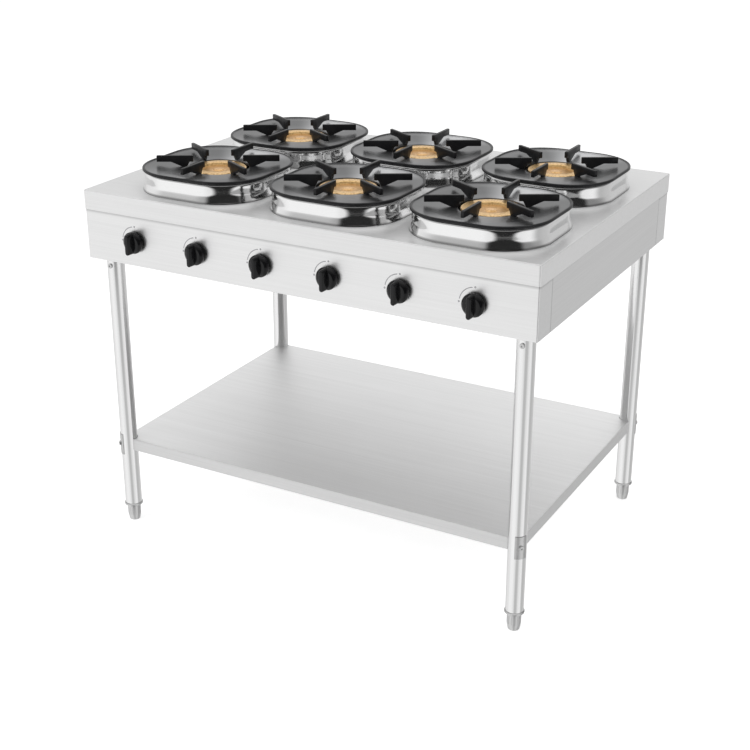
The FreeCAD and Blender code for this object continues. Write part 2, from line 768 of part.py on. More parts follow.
def build_legs():
    # Tubes between a socket in each body corner and a levelling foot, drilled for their screws.
    bore_radius = "(leg_radius - leg_gauge)"
    leg_length = "(%s - %s)" % (LIP_TOP, LEG_BOTTOM)
    plug_radius = "(%s - fit_gap)" % bore_radius
    set_height = "(%s - set_screw_drop)" % PANEL_BOTTOM
    sockets = []
    inserts = []
    set_screws = []
    shelf_screws = []
    saddles = []

    # A shank and a flat round head along +X; the seat is where the head meets what it holds.
    def screw(name, shank_length, seat):
        shank_at = (seat + " - " + shank_length, "0", "0")
        shank = rod(name + "_shank", "screw_radius", shank_length, shank_at, "x")
        head = rod(name + "_head", "screw_head", "screw_head_height", (seat, "0", "0"), "x")
        return fuse(name, shank, head)

    set_screw = screw("set_screw", "(leg_gauge + fit_gap / 2)", "leg_radius")
    saddle_radius = "(leg_radius + saddle_gauge)"
    shelf_screw = screw("shelf_screw", "(2 * leg_radius + saddle_gauge + 4 * sheet_gauge)", saddle_radius)

    saddle_outer = rod("saddle_outer", saddle_radius, "saddle_height", ("0", "0", "-saddle_height / 2"))
    bind(saddle_outer, Angle="saddle_arc")
    saddle_inner = rod("saddle_inner", "leg_radius", "2 * saddle_height", ("0", "0", "-saddle_height"))
    saddle_blank = group("saddle_blank", cut("saddle_shell", saddle_outer, saddle_inner))
    saddle_blank.Placement.Rotation = FreeCAD.Rotation(FreeCAD.Vector(0, 0, 1), 1)
    saddle_blank.setExpression("Placement.Rotation.Angle", bound("-saddle_arc / 2"))
    drill_radius = "screw_radius + fit_gap"
    one_wall_drill = rod("one_wall_drill", drill_radius, "2 * leg_radius", ("0", "0", "0"), "x")
    through_drill = rod("through_drill", drill_radius, "4 * leg_radius", ("-2 * leg_radius", "0", "0"), "x")
    saddle = cut("saddle", saddle_blank, one_wall_drill)

    insert_body = fuse(
        "insert_blank",
        rod("insert_plug", plug_radius, "insert_length", ("0", "0", "foot_height")),
        rod("insert_ring", "ring_radius", "ring_height", ("0", "0", "foot_height")),
    )
    insert_bore = rod(
        "insert_bore", "foot_stem + running_gap", "foot_stem_length + fit_gap", ("0", "0", "foot_height")
    )
    insert = cut("foot_insert", insert_body, insert_bore)

    foot = turned(
        "foot",
        (
            ("0", "0"),
            ("foot_sole", "0"),
            ("foot_top", "foot_taper"),
            ("foot_top", "foot_height - fit_gap"),
            ("foot_stem", "foot_height - fit_gap"),
            ("foot_stem", "foot_height + foot_stem_length"),
            ("0", "foot_height + foot_stem_length"),
        ),
    )

    for number, side, end, x_text, y_text in leg_places():
        at = (x_text, y_text, "0")
        diagonal = outward(side, end)
        facing = 90 * end
        tube = rod("tube_%d" % number, "leg_radius", leg_length, (x_text, y_text, LEG_BOTTOM))
        bore = rod("tube_bore_%d" % number, bore_radius, leg_length, (x_text, y_text, LEG_BOTTOM))
        shelf_at = (x_text, y_text, SHELF_SCREW)
        set_at = (x_text, y_text, set_height)
        shelf_hole = copy("leg_shelf_hole_%d" % number, through_drill, shelf_at, diagonal)
        set_hole = copy("leg_set_hole_%d" % number, one_wall_drill, set_at, facing)
        node(cut("leg_tube_%d" % number, tube, bore, shelf_hole, set_hole), "leg_%d" % number)
        node(copy("foot_copy_%d" % number, foot, at), "foot_%d" % number)
        inserts.append(copy("insert_%d" % number, insert, at))
        saddles.append(copy("saddle_%d" % number, saddle, shelf_at, diagonal))
        shelf_screws.append(copy("shelf_screw_%d" % number, shelf_screw, shelf_at, diagonal))
        set_screws.append(copy("set_screw_%d" % number, set_screw, set_at, facing))

        edge_x = "(deck_width / 2 - 2 * sheet_gauge - socket_gap)"
        edge_y = "(deck_depth / 2 - 2 * sheet_gauge - socket_gap)"
        low_x = edge_x + " - socket_side" if side > 0 else "-" + edge_x
        low_y = edge_y + " - socket_side" if end > 0 else "-" + edge_y
        gusset_size = ("socket_side", "socket_side", "socket_gauge")
        gusset = box("gusset_%d" % number, gusset_size, (low_x, low_y, LIP_TOP))
        spigot_at = (x_text, y_text, LIP_TOP + " - socket_depth")
        spigot = rod("spigot_%d" % number, plug_radius, "socket_depth + socket_gauge / 2", spigot_at)
        sockets.append(fuse("socket_%d" % number, gusset, spigot))

    node(group("sockets", *sockets), "leg_sockets")
    node(group("inserts", *inserts), "foot_inserts")
    node(group("saddles", *saddles), "shelf_saddles")
    node(group("shelf_screw_set", *shelf_screws), "shelf_screws")
    node(group("set_screw_set", *set_screws), "leg_set_screws")


def build_shelf():
    # A tray with turned-down edges whose corners are hollowed to hug the legs.
    width = "(2 * %s + 2 * shelf_reach)" % LEG_X
    depth = "(2 * %s + 2 * shelf_reach)" % LEG_Y
    bottom = "shelf_height - shelf_edge"

    def block(name, inset, height):
        return box(
            name,
            ("%s - 2 * %s" % (width, inset), "%s - 2 * %s" % (depth, inset), height),
            ("%s - %s / 2" % (inset, width), "%s - %s / 2" % (inset, depth), bottom),
        )

    tray_inner = block("tray_inner", "sheet_gauge", "shelf_edge - sheet_gauge")
    tray = cut("tray", block("tray_outer", "0", "shelf_edge"), tray_inner)
    hug = "(leg_radius + fit_gap)"
    drill = rod("shelf_drill", "screw_radius + fit_gap", "4 * leg_radius", ("-4 * leg_radius", "0", "0"), "x")
    collars = []
    seats = []
    holes = []
    for number, side, end, x_text, y_text in leg_places():
        at = (x_text, y_text, bottom)
        seat_at = (x_text, y_text, bottom + " - shelf_edge / 2")
        hole_at = (x_text, y_text, SHELF_SCREW)
        collars.append(rod("collar_%d" % number, hug + " + sheet_gauge", "shelf_edge", at))
        seats.append(rod("seat_%d" % number, hug, "2 * shelf_edge", seat_at))
        holes.append(copy("shelf_hole_%d" % number, drill, hole_at, outward(side, end)))
    limit = block("collar_limit", "0", "shelf_edge")
    corner_walls = overlap("corner_walls", fuse("collars", *collars), limit)
    node(cut("shelf_sheet", fuse("shelf_blank", tray, corner_walls), *seats, *holes), "shelf")


build_deck()
build_panels()
build_surrounds()
build_pan_supports()
build_burner_caps()
build_burners()
build_rails()
build_knobs()
build_valves()
build_manifold()
build_gas_pipes()
build_legs()
build_shelf()
doc.recompute()

failed = [item.Name for item in doc.Objects if "Invalid" in item.State or "Error" in item.State]
for item in nodes:
    if item.Shape.isNull() or not item.Shape.isValid() or not item.Shape.Solids:
        failed.append(item.Label)
if failed:
    raise RuntimeError("these objects failed: " + ", ".join(failed))

os.makedirs("parts", exist_ok=True)
for item in nodes:
    item.Shape.exportStep("parts/%s.step" % item.Label)
    print("%-20s %2d solids %12.1f mm3" % (item.Label, len(item.Shape.Solids), item.Shape.Volume))
print(len(nodes), "nodes")
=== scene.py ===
import math

import bpy
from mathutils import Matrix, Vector


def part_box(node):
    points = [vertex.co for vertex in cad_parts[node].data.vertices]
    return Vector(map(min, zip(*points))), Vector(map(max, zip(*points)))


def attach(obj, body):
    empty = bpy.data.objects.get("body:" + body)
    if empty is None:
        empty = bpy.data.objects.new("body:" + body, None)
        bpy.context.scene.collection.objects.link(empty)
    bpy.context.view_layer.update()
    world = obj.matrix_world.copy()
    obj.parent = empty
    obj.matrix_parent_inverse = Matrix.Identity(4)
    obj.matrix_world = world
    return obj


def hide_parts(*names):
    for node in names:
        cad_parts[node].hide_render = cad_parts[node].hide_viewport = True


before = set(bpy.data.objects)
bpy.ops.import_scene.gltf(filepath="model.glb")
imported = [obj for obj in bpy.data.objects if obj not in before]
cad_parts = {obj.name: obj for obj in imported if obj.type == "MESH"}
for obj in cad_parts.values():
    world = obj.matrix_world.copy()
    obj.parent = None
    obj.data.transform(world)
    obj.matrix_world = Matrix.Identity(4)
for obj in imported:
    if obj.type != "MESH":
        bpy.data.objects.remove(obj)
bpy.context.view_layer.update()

numbers = range(1, 7)
corners = range(1, 5)
# Lengths are in metres
tiny = 0.00005
weld = 0.000005
nearly = 0.99
stripHalf = 0.0001
upward = Vector((0, 0, 1))
toRight = Vector((1, 0, 0))
toRear = Vector((0, 1, 0))
lengthwise = (math.pi / 2, 0, 0)
print("frame loaded")


# Working with pieces

def freshStart():
    if bpy.context.object and bpy.context.object.mode != "OBJECT":
        bpy.ops.object.mode_set(mode="OBJECT")
    bpy.ops.object.select_all(action="DESELECT")


def choose(*pieces):
    freshStart()
    for piece in pieces:
        piece.select_set(True)
    bpy.context.view_layer.objects.active = pieces[0]


def editWith(piece, kind, test):
    # Opens the piece in edit mode with the vertices, edges or faces that pass the test selected.
    choose(piece)
    mesh = piece.data
    groups = {"VERT": mesh.vertices, "EDGE": mesh.edges, "FACE": mesh.polygons}
    for members in groups.values():
        for member in members:
            member.select = False
    for member in groups[kind]:
        member.select = bool(test(member))
    bpy.context.tool_settings.mesh_select_mode = [kind == name for name in groups]
    bpy.ops.object.mode_set(mode="EDIT")


def editAll(piece):
    editWith(piece, "VERT", lambda vertex: True)


def done():
    bpy.ops.object.mode_set(mode="OBJECT")


def ends(piece, edge):
    return [piece.data.vertices[index].co for index in edge.vertices]


def upright(piece):
    def test(edge):
        first, second = ends(piece, edge)
        return abs(first.z - second.z) > nearly * (first - second).length
    return test


def level(piece, height):
    return lambda edge: all(abs(end.z - height) < tiny for end in ends(piece, edge))


def facing(direction):
    return lambda face: face.normal.dot(direction) > nearly


def flatten(piece):
    # Puts the piece's place, turn and scale into its mesh.
    choose(piece)
    bpy.ops.object.transform_apply(location=True, rotation=True, scale=True)
    return piece


def setDown(piece, place=(0, 0, 0), turn=(0, 0, 0)):
    piece.location = place
    piece.rotation_euler = turn
    return flatten(piece)


def named(name):
    # The primitive that was just added, with its place and scale in its mesh.
    piece = bpy.context.object
    piece.name = name
    return flatten(piece)


def outwardFaces(piece):
    editAll(piece)
    bpy.ops.mesh.remove_doubles(threshold=weld)
    bpy.ops.mesh.normals_make_consistent(inside=False)
    done()


def block(name, low, high):
    freshStart()
    low, high = Vector(low), Vector(high)
    bpy.ops.mesh.primitive_cube_add(size=1, location=(low + high) / 2)
    bpy.context.object.scale = high - low
    return named(name)


def bevelEdges(piece, test, width, steps):
    editWith(piece, "EDGE", test)
    bpy.ops.mesh.bevel(offset=width, segments=steps, affect="EDGES")
    done()


def dropFaces(piece, test):
    editWith(piece, "FACE", test)
    bpy.ops.mesh.delete(type="FACE")
    done()


def thicken(piece, gauge):
    # Gives a sheet its thickness, on the inner side.
    choose(piece)
    solid = piece.modifiers.new("gauge", "SOLIDIFY")
    solid.thickness = gauge
    solid.offset = -1
    bpy.ops.object.modifier_apply(modifier=solid.name)


def discard(*pieces):
    for piece in pieces:
        bpy.data.objects.remove(piece)


def cutWith(piece, tools):
    # Cuts the tools out of the piece and throws them away.
    for tool in tools:
        choose(piece)
        hole = piece.modifiers.new("hole", "BOOLEAN")
        hole.operation = "DIFFERENCE"
        hole.solver = "EXACT"
        hole.object = tool
        bpy.ops.object.modifier_apply(modifier=hole.name)
        discard(tool)


def drill(radius, length, place, turn=(0, 0, 0), sides=64):
    freshStart()
    bpy.ops.mesh.primitive_cylinder_add(
        vertices=sides, radius=radius, depth=length, location=place, rotation=turn)
    return flatten(bpy.context.object)


def drawOut(profile):
    # Draws the selected loop, which has the profile's first size and height, out through the others.
    size, height = profile[0]
    for nextSize, nextHeight in profile[1:]:
        bpy.ops.mesh.extrude_region_move(
            TRANSFORM_OT_translate={"value": (0, 0, nextHeight - height)})
        if nextSize == 0:
            bpy.ops.mesh.merge(type="CENTER")
            break
        share = nextSize / size
        bpy.ops.transform.resize(value=(share, share, 1), center_override=(0, 0, nextHeight))
        size, height = nextSize, nextHeight


def turned(name, profile, steps, fillStart=False):
    # A ring of edges drawn out through radius and height pairs, as on a lathe.
    freshStart()
    radius, height = profile[0]
    bpy.ops.mesh.primitive_circle_add(vertices=steps, radius=radius, location=(0, 0, height))
    piece = named(name)
    editAll(piece)
    drawOut(profile)
    done()
    if fillStart:
        fillRing(piece, radius, height)
    outwardFaces(piece)
    return piece


def fillRing(piece, radius, height):
    editWith(piece, "EDGE", ringTest(piece, radius, height))
    bpy.ops.mesh.edge_face_add()
    done()


def ringTest(piece, radius, height):
    return lambda edge: all(abs(end.z - height) < tiny and abs(end.xy.length - radius) < tiny
                            for end in ends(piece, edge))


def copyTo(master, name, place, turn=(0, 0, 0)):
    # The master set down again with a mesh of its own.
    piece = master.copy()
    piece.data = master.data.copy()
    bpy.context.scene.collection.objects.link(piece)
    piece.name = name
    return setDown(piece, place, turn)


def spunStrip(name, radii, heights, arc, steps):
    # A face on the +X side, spun clockwise about the vertical axis.
    inner, outer = radii
    low, high = heights
    strip = block(name, (inner, -stripHalf, low), (outer, stripHalf, high))
    dropFaces(strip, lambda face: not facing(toRear)(face))
    editAll(strip)
    bpy.ops.mesh.spin(steps=steps, angle=math.radians(arc), center=(0, 0, 0), axis=(0, 0, 1))
    done()
    return strip


def sinkBand(piece, steps, band):
    # Sinks faces of a band round the vertical axis, so many wide out of every so many.
    def chosen(face):
        middle = face.center
        turn = math.atan2(middle.y, middle.x) % (2 * math.pi)
        inBand = middle.xy.length > band["ring"] and band["low"] < middle.z < band["high"]
        return inBand and int(turn / (2 * math.pi) * steps) % band["every"] < band["wide"]

    editWith(piece, "FACE", chosen)
    bpy.ops.mesh.inset(thickness=band["inset"], depth=-band["depth"])
    done()


def joined(name, pieces):
    choose(*pieces)
    bpy.ops.object.join()
    piece = bpy.context.object
    piece.name = name
    piece.data.name = name
    return piece


def finishPiece(piece, material, body, slotName, *nodes, angle=35, sheet=False):
    choose(piece)
    bpy.ops.object.shade_smooth_by_angle(angle=math.radians(angle))
    if sheet:
        # Keeps the wide flat faces flat up to their rolled edges.
        flat = piece.modifiers.new("flat", "WEIGHTED_NORMAL")
        flat.keep_sharp = True
        bpy.ops.object.modifier_apply(modifier=flat.name)
    piece.data.materials.clear()
    piece.data.materials.append(material)
    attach(piece, body)
    if nodes:
        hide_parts(*nodes)


def pick(shape, *keys):
    return [shape[key] for key in keys]


def centreOf(node):
    low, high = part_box(node)
    return (low + high) / 2


def placeOver(node, height=0):
    middle = centreOf(node)
    return Vector((middle.x, middle.y, height))


def stationPlace(number, height):
    return placeOver(f"surround_{number}", height)


def legPlace(number, height=0):
    return placeOver(f"leg_{number}", height)


# Materials

def newGroup(name, outputs, inputs=("Vector",)):
    # A shader group that takes vectors and puts out values.
    group = bpy.data.node_groups.new(name, "ShaderNodeTree")
    for label in inputs:
        group.interface.new_socket(name=label, in_out="INPUT", socket_type="NodeSocketVector")
    for label in outputs:
        group.interface.new_socket(name=label, in_out="OUTPUT", socket_type="NodeSocketFloat")
    return group, group.nodes.new("NodeGroupInput").outputs, group.nodes.new("NodeGroupOutput").inputs


def wire(source, target):
    source.id_data.links.new(source, target)


def feed(socket, value):
    # Sets a socket to a number or a colour, or links another socket to it.
    if isinstance(value, (int, float)):
        socket.default_value = value
    elif isinstance(value, tuple):
        socket.default_value = (*value, 1)
    elif value is not None:
        wire(value, socket)


def addNode(tree, kind, **settings):
    made = tree.nodes.new(kind)
    for label, value in settings.items():
        setattr(made, label, value)
    return made


def mathNode(operation, first, second=None, third=None):
    made = addNode(first.id_data, "ShaderNodeMath", operation=operation)
    for socket, value in zip(made.inputs, (first, second, third)):
        feed(socket, value)
    return made.outputs[0]


def ramp(factor, stops, interpolation="LINEAR"):
    made = addNode(factor.id_data, "ShaderNodeValToRGB")
    made.color_ramp.interpolation = interpolation
    elements = made.color_ramp.elements
    while len(elements) < len(stops):
        elements.new(0.5)
    for element, (place, colour) in zip(elements, stops):
        element.position = place
        element.color = (*colour, 1)
    wire(factor, made.inputs["Fac"])
    return made.outputs["Color"]


def mixColour(factor, first, second, blend="MIX"):
    # Sockets 0, 6 and 7 are the factor and the two colours.
    made = addNode(factor.id_data, "ShaderNodeMix", data_type="RGBA", blend_type=blend)
    for index, value in ((0, factor), (6, first), (7, second)):
        feed(made.inputs[index], value)
    return made.outputs[2]


def setSockets(sockets, values):
    for label, value in values.items():
        sockets[label].default_value = value


def noise(vector, scale, detail=2.0):
    made = addNode(vector.id_data, "ShaderNodeTexNoise")
    setSockets(made.inputs, {"Scale": scale, "Detail": detail})
    wire(vector, made.inputs["Vector"])
    return made.outputs["Fac"]


def axes(vector):
    made = addNode(vector.id_data, "ShaderNodeSeparateXYZ")
    wire(vector, made.inputs[0])
    return made.outputs


def upwardShare(place):
    # How far a face looks up, from -1 to 1.
    geometry = addNode(place.id_data, "ShaderNodeNewGeometry")
    return axes(geometry.outputs["Normal"])["Z"]


def blended(first, second, share):
    return mathNode("ADD", mathNode("MULTIPLY", first, share), mathNode("MULTIPLY", second, 1 - share))


def spread(source, dark, light, span=(0.3, 0.7)):
    # From dark to light over the part of its range that a noise keeps to.
    return ramp(source, tuple(zip(span, (dark, light))))


# A noise is a scale and a detail.
grainLook = {"fine": (1.0, 3.0), "coarse": (0.23, 2.0), "fineShare": 0.6, "cloud": (4.5, 4.0)}
castLook = {"small": (650.0, 4.0), "broad": (45.0, 3.0), "smallShare": 0.7}


def grainGroup(look):
    # Fine parallel grinding lines: stretched noise at two scales, with a faint wide cloud.
    group, start, end = newGroup("brushedGrain", ("Lines", "Cloud"), ("Vector", "Stretch"))
    scaled = addNode(group, "ShaderNodeVectorMath", operation="MULTIPLY")
    wire(start["Vector"], scaled.inputs[0])
    wire(start["Stretch"], scaled.inputs[1])
    fine = noise(scaled.outputs[0], *look["fine"])
    coarse = noise(scaled.outputs[0], *look["coarse"])
    wire(blended(fine, coarse, look["fineShare"]), end["Lines"])
    wire(noise(start["Vector"], *look["cloud"]), end["Cloud"])
    return group


def castGroup(look):
    # Sand-cast skin: small bumps with a broader unevenness.
    group, start, end = newGroup("castSkin", ("Height", "Speckle"))
    small = noise(start["Vector"], *look["small"])
    broad = noise(start["Vector"], *look["broad"])
    wire(blended(small, broad, look["smallShare"]), end["Height"])
    wire(broad, end["Speckle"])
    return group


def burnerGroup(columnPitch, rowPitch, first):
    # How far a point is from the axis of the nearest burner, and its turn about that axis.
    group, start, end = newGroup("burnerDistance", ("Radius", "Turn"))
    parts = axes(start["Vector"])
    shiftedX = mathNode("SUBTRACT", parts["X"], first.x)
    across = mathNode("WRAP", shiftedX, columnPitch / 2, -columnPitch / 2)
    shiftedY = mathNode("SUBTRACT", parts["Y"], first.y)
    along = mathNode("WRAP", shiftedY, rowPitch / 2, -rowPitch / 2)
    squares = mathNode("ADD", mathNode("MULTIPLY", across, across), mathNode("MULTIPLY", along, along))
    wire(mathNode("SQRT", squares), end["Radius"])
    wire(mathNode("ARCTAN2", along, across), end["Turn"])
    return group


firstStation = stationPlace(1, 0)
columnPitch = stationPlace(3, 0).x - firstStation.x
rowPitch = stationPlace(2, 0).y - firstStation.y
brushedGrain = grainGroup(grainLook)
castSkin = castGroup(castLook)
burnerDistance = burnerGroup(columnPitch, rowPitch, firstStation)


def newMaterial(name):
    material = bpy.data.materials.new(name)
    material.use_nodes = True
    tree = material.node_tree
    tree.nodes.clear()
    shader = addNode(tree, "ShaderNodeBsdfPrincipled")
    output = addNode(tree, "ShaderNodeOutputMaterial")
    wire(shader.outputs[0], output.inputs["Surface"])
    place = addNode(tree, "ShaderNodeTexCoord")
    return material, shader.inputs, place.outputs["Object"]


def useGroup(group, vector, **values):
    made = addNode(vector.id_data, "ShaderNodeGroup", node_tree=group)
    setSockets(made.inputs, values)
    wire(vector, made.inputs["Vector"])
    return made.outputs


def roughen(shader, source, low, span):
    wire(mathNode("MULTIPLY_ADD", source, span, low), shader["Roughness"])


def bump(shader, height, strength, distance):
    made = addNode(height.id_data, "ShaderNodeBump")
    setSockets(made.inputs, {"Strength": strength, "Distance": distance})
    wire(height, made.inputs["Height"])
    wire(made.outputs[0], shader["Normal"])


def seamAndShadowMask(place, axis, at, width, depth):
    # A soft dark line at one place along an axis, for dark joints where two sheets meet and for painted
    # shadow lines.
    away = mathNode("ABSOLUTE", mathNode("SUBTRACT", axes(place)[axis], at))
    fall = addNode(place.id_data, "ShaderNodeMapRange")
    setSockets(fall.inputs, {"From Max": width, "To Min": depth, "To Max": 0.0})
    wire(away, fall.inputs["Value"])
    return fall.outputs[0]


def steelMaterial(name, look):
    # Ground stainless sheet whose lines run along one axis.
    material, shader, place = newMaterial(name)
    grain = useGroup(brushedGrain, place, Stretch=look["stretch"])
    tones = []
    for change in (-look["contrast"], look["contrast"]):
        tones.append(tuple(min(1, look["tone"] * share * (1 + change)) for share in look["tint"]))
    colour = spread(grain["Lines"], *tones, look["lineSpan"])
    # Dark joints and painted shadow lines are laid over the grain.
    for darkLine in look["seamsAndShadows"]:
        colour = mixColour(seamAndShadowMask(place, *darkLine), colour, look["seamAndShadowTone"])
    # Painted shade: faces that do not look up, such as the shelf's folded front edge, are darkened.
    if "paintedEdgeShade" in look:
        edge = mathNode("LESS_THAN", upwardShare(place), look["edgeSlope"])
        colour = mixColour(edge, colour, (look["paintedEdgeShade"],) * 3, "MULTIPLY")
    wire(colour, shader["Base Color"])
    setSockets(shader, {"Metallic": look["metal"]})
    low, high = look["roughness"]
    roughen(shader, grain["Cloud"], low, high - low)
    if look["bump"] > 0:
        bump(shader, grain["Lines"], look["bump"], look["grindDepth"])
    return material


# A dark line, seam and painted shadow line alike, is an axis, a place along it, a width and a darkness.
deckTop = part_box("deck")[1].z
# Painted shadow: a dark line just below the apron's lip on the front and side panels, wider on the front,
# where the apron overhangs them; the wrap lines are dark joints.
apronShadowDrop = 0.0007
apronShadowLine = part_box("deck")[0].z - apronShadowDrop
wrapEnds = (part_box("front_panel")[1].y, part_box("rear_panel")[0].y)
wrapSeams = [("Y", wrapEnd, 0.0022, 0.30) for wrapEnd in wrapEnds]
frontJointsAndShadow = [("Z", apronShadowLine, 0.0055, 0.40), *wrapSeams]
sideJointsAndShadow = [("Z", apronShadowLine, 0.0022, 0.40), *wrapSeams]
plainSteel = {"tint": (1.0, 1.0, 1.0), "contrast": 0.035, "lineSpan": (0.32, 0.68), "roughness": (0.30, 0.40),
              "bump": 0.05, "grindDepth": 0.0004, "metal": 1.0, "seamsAndShadows": (), "seamAndShadowTone": (0.05, 0.05, 0.05),
              "edgeSlope": 0.5}
steelLooks = {
    "panelAcross": {"stretch": (5, 700, 700), "tone": 0.86, "seamsAndShadows": frontJointsAndShadow},
    # Painted shade: the deck and its apron take the front panels' steel at a darker tone.
    "deckShadedSheet": {"stretch": (5, 700, 700), "tone": 0.74, "metal": 0.6},
    "sheetAlong": {"stretch": (700, 5, 700), "tone": 0.84, "seamsAndShadows": sideJointsAndShadow},
    "shelfSheet": {"stretch": (5, 600, 600), "tone": 0.93, "contrast": 0.04, "roughness": (0.44, 0.52),
                   "metal": 0.85, "paintedEdgeShade": 0.77},
    # Painted contact shadow: the polished rings darken in a line where they stand on the deck.
    "polishedSteel": {"stretch": (160, 160, 700), "tone": 0.90, "contrast": 0.012, "roughness": (0.09, 0.13),
                      "bump": 0.0, "seamsAndShadows": [("Z", deckTop, 0.005, 0.85)]},
    "tubeSteel": {"stretch": (420, 420, 4), "tone": 0.88, "contrast": 0.02, "roughness": (0.10, 0.16),
                  "bump": 0.02},
    "fittingSteel": {"stretch": (300, 300, 90), "tone": 0.62, "contrast": 0.06, "roughness": (0.20, 0.32),
                     "bump": 0.04},
    "footSteel": {"stretch": (420, 420, 12), "tone": 0.66, "contrast": 0.10, "roughness": (0.22, 0.34),
                  "bump": 0.06},
    "hiddenSteel": {"stretch": (40, 300, 300), "tone": 0.55, "tint": (1.0, 0.99, 0.97), "contrast": 0.08,
                    "roughness": (0.35, 0.5)},
    "pipeSteel": {"stretch": (60, 60, 60), "tone": 0.32, "tint": (1.0, 0.97, 0.93), "contrast": 0.12,
                  "roughness": (0.4, 0.55), "bump": 0.08},
    "pipeAluminium": {"stretch": (120, 120, 120), "tone": 0.72, "tint": (1.0, 1.0, 1.02), "contrast": 0.06,
                      "roughness": (0.28, 0.4)},
}
steel = {name: steelMaterial(name, {**plainSteel, **look}) for name, look in steelLooks.items()}


def castIronMaterial(look):
    # Black enamel on the edges and claws, grey where the dish has been turned smooth, with two painted
    # highlight sweeps of the kind that turned metal shows.
    material, shader, place = newMaterial("castIron")
    skin = useGroup(castSkin, place)
    distance = useGroup(burnerDistance, place)
    height = axes(place)["Z"]
    flat = mathNode("GREATER_THAN", upwardShare(place), look["flatness"])
    low = mathNode("LESS_THAN", height, look["plateTop"])
    nearHole = mathNode("LESS_THAN", distance["Radius"], look["holeEdge"])
    underTop = mathNode("LESS_THAN", height, look["holeTop"])
    holeWall = mathNode("MULTIPLY", nearHole, underTop)
    plate = mathNode("MAXIMUM", mathNode("MULTIPLY", flat, low), holeWall)
    rubbedAndHighlight = ramp(distance["Radius"], look["plateStops"], "EASE")
    # Painted highlight: two bright sweeps about each burner's axis, stronger on one side, are mixed into the
    # dish's colour.
    turn = mathNode("SUBTRACT", distance["Turn"], math.radians(look["sweepTurn"]))
    swept = mathNode("MAXIMUM", mathNode("COSINE", mathNode("MULTIPLY", turn, look["sweeps"])), 0.0)
    side = look["sweepSide"]
    nearer = mathNode("MULTIPLY_ADD", mathNode("COSINE", turn), side, 1 - side)
    sweepHighlight = mathNode("MULTIPLY", mathNode("POWER", swept, look["sweepPower"]), nearer)
    rubbedAndHighlight = mixColour(sweepHighlight, rubbedAndHighlight, look["sweepHighlightTone"])
    wornAndHighlight = mixColour(skin["Speckle"], rubbedAndHighlight, look["plateShade"], "MULTIPLY")
    enamel = spread(skin["Speckle"], look["enamelDark"], look["enamelLight"])
    wire(mixColour(plate, enamel, wornAndHighlight), shader["Base Color"])
    roughen(shader, plate, look["enamelRough"], look["plateRough"] - look["enamelRough"])
    wire(mathNode("MULTIPLY", plate, look["plateMetal"]), shader["Metallic"])
    setSockets(shader, {"Specular IOR Level": look["gloss"]})
    bump(shader, skin["Height"], *look["bump"])
    return material


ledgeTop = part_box("surround_1")[1].z
castIron = castIronMaterial({
    "flatness": 0.55,
    "plateTop": ledgeTop + 0.0049,
    "holeEdge": 0.0675,
    "holeTop": ledgeTop - 0.0021,
    "plateStops": ((0.066, (0.21, 0.212, 0.217)), (0.095, (0.15, 0.152, 0.154)),
                   (0.14, (0.13, 0.131, 0.133))),
    "sweeps": 2.0,
    "sweepTurn": 80.0,
    "sweepPower": 1.6,
    "sweepSide": 0.32,
    "sweepHighlightTone": (0.66, 0.664, 0.672),
    "plateShade": (0.86, 0.86, 0.87),
    "plateRough": 0.28,
    "plateMetal": 0.9,
    "enamelDark": (0.008, 0.008, 0.009),
    "enamelLight": (0.016, 0.016, 0.017),
    "enamelRough": 0.32,
    "gloss": 0.22,
    "bump": (0.12, 0.0005),
})


def brassMaterial(look):
    # Turned rings about each burner's axis, darker over the floor of the sunk middle, with random tarnish and
    # mottling.
    material, shader, place = newMaterial("brass")
    distance = useGroup(burnerDistance, place)
    skin = useGroup(castSkin, place)
    tone = ramp(distance["Radius"], look["stops"])
    tarnish = mathNode("MULTIPLY", skin["Speckle"], look["tarnishShare"])
    shade = mixColour(tarnish, tone, look["tarnish"])
    spots = spread(noise(place, look["mottleScale"]), (0.0, 0.0, 0.0),
                   (look["mottleDepth"],) * 3, look["mottleSpan"])
    wire(mixColour(spots, shade, look["mottle"]), shader["Base Color"])
    wave = mathNode("SINE", mathNode("MULTIPLY", distance["Radius"], look["rings"]))
    height = mathNode("MULTIPLY_ADD", wave, look["ringShare"], skin["Height"])
    bump(shader, height, *look["bump"])
    setSockets(shader, {"Metallic": look["metal"]})
    roughen(shader, skin["Speckle"], *look["roughness"])
    return material


brass = brassMaterial({
    "stops": ((0.0, (0.88, 0.58, 0.31)), (0.012, (0.80, 0.50, 0.23)), (0.020, (0.52, 0.29, 0.10)),
              (0.033, (0.50, 0.28, 0.09)), (0.040, (0.90, 0.62, 0.29)), (0.060, (0.93, 0.66, 0.34))),
    "tarnish": (0.82, 0.54, 0.26),
    "tarnishShare": 0.5,
    "mottle": (0.40, 0.22, 0.07),
    "mottleScale": 210.0,
    "mottleSpan": (0.46, 0.64),
    "mottleDepth": 0.55,
    "rings": 5200.0,
    "ringShare": 0.25,
    "bump": (0.10, 0.0005),
    "metal": 0.85,
    "roughness": (0.30, 0.14),
})


def plainMaterial(name, group, look):
    # Colour and roughness follow the two outputs of a shared group that the look names.
    material, shader, place = newMaterial(name)
    skin = useGroup(group, place, **look.get("inputs", {}))
    wire(spread(skin[look["colourFrom"]], look["dark"], look["light"]), shader["Base Color"])
    roughen(shader, skin[look["roughFrom"]], *look["roughness"])
    if "bump" in look:
        bump(shader, skin["Height"], *look["bump"])
    setSockets(shader, look.get("constants", {}))
    return material


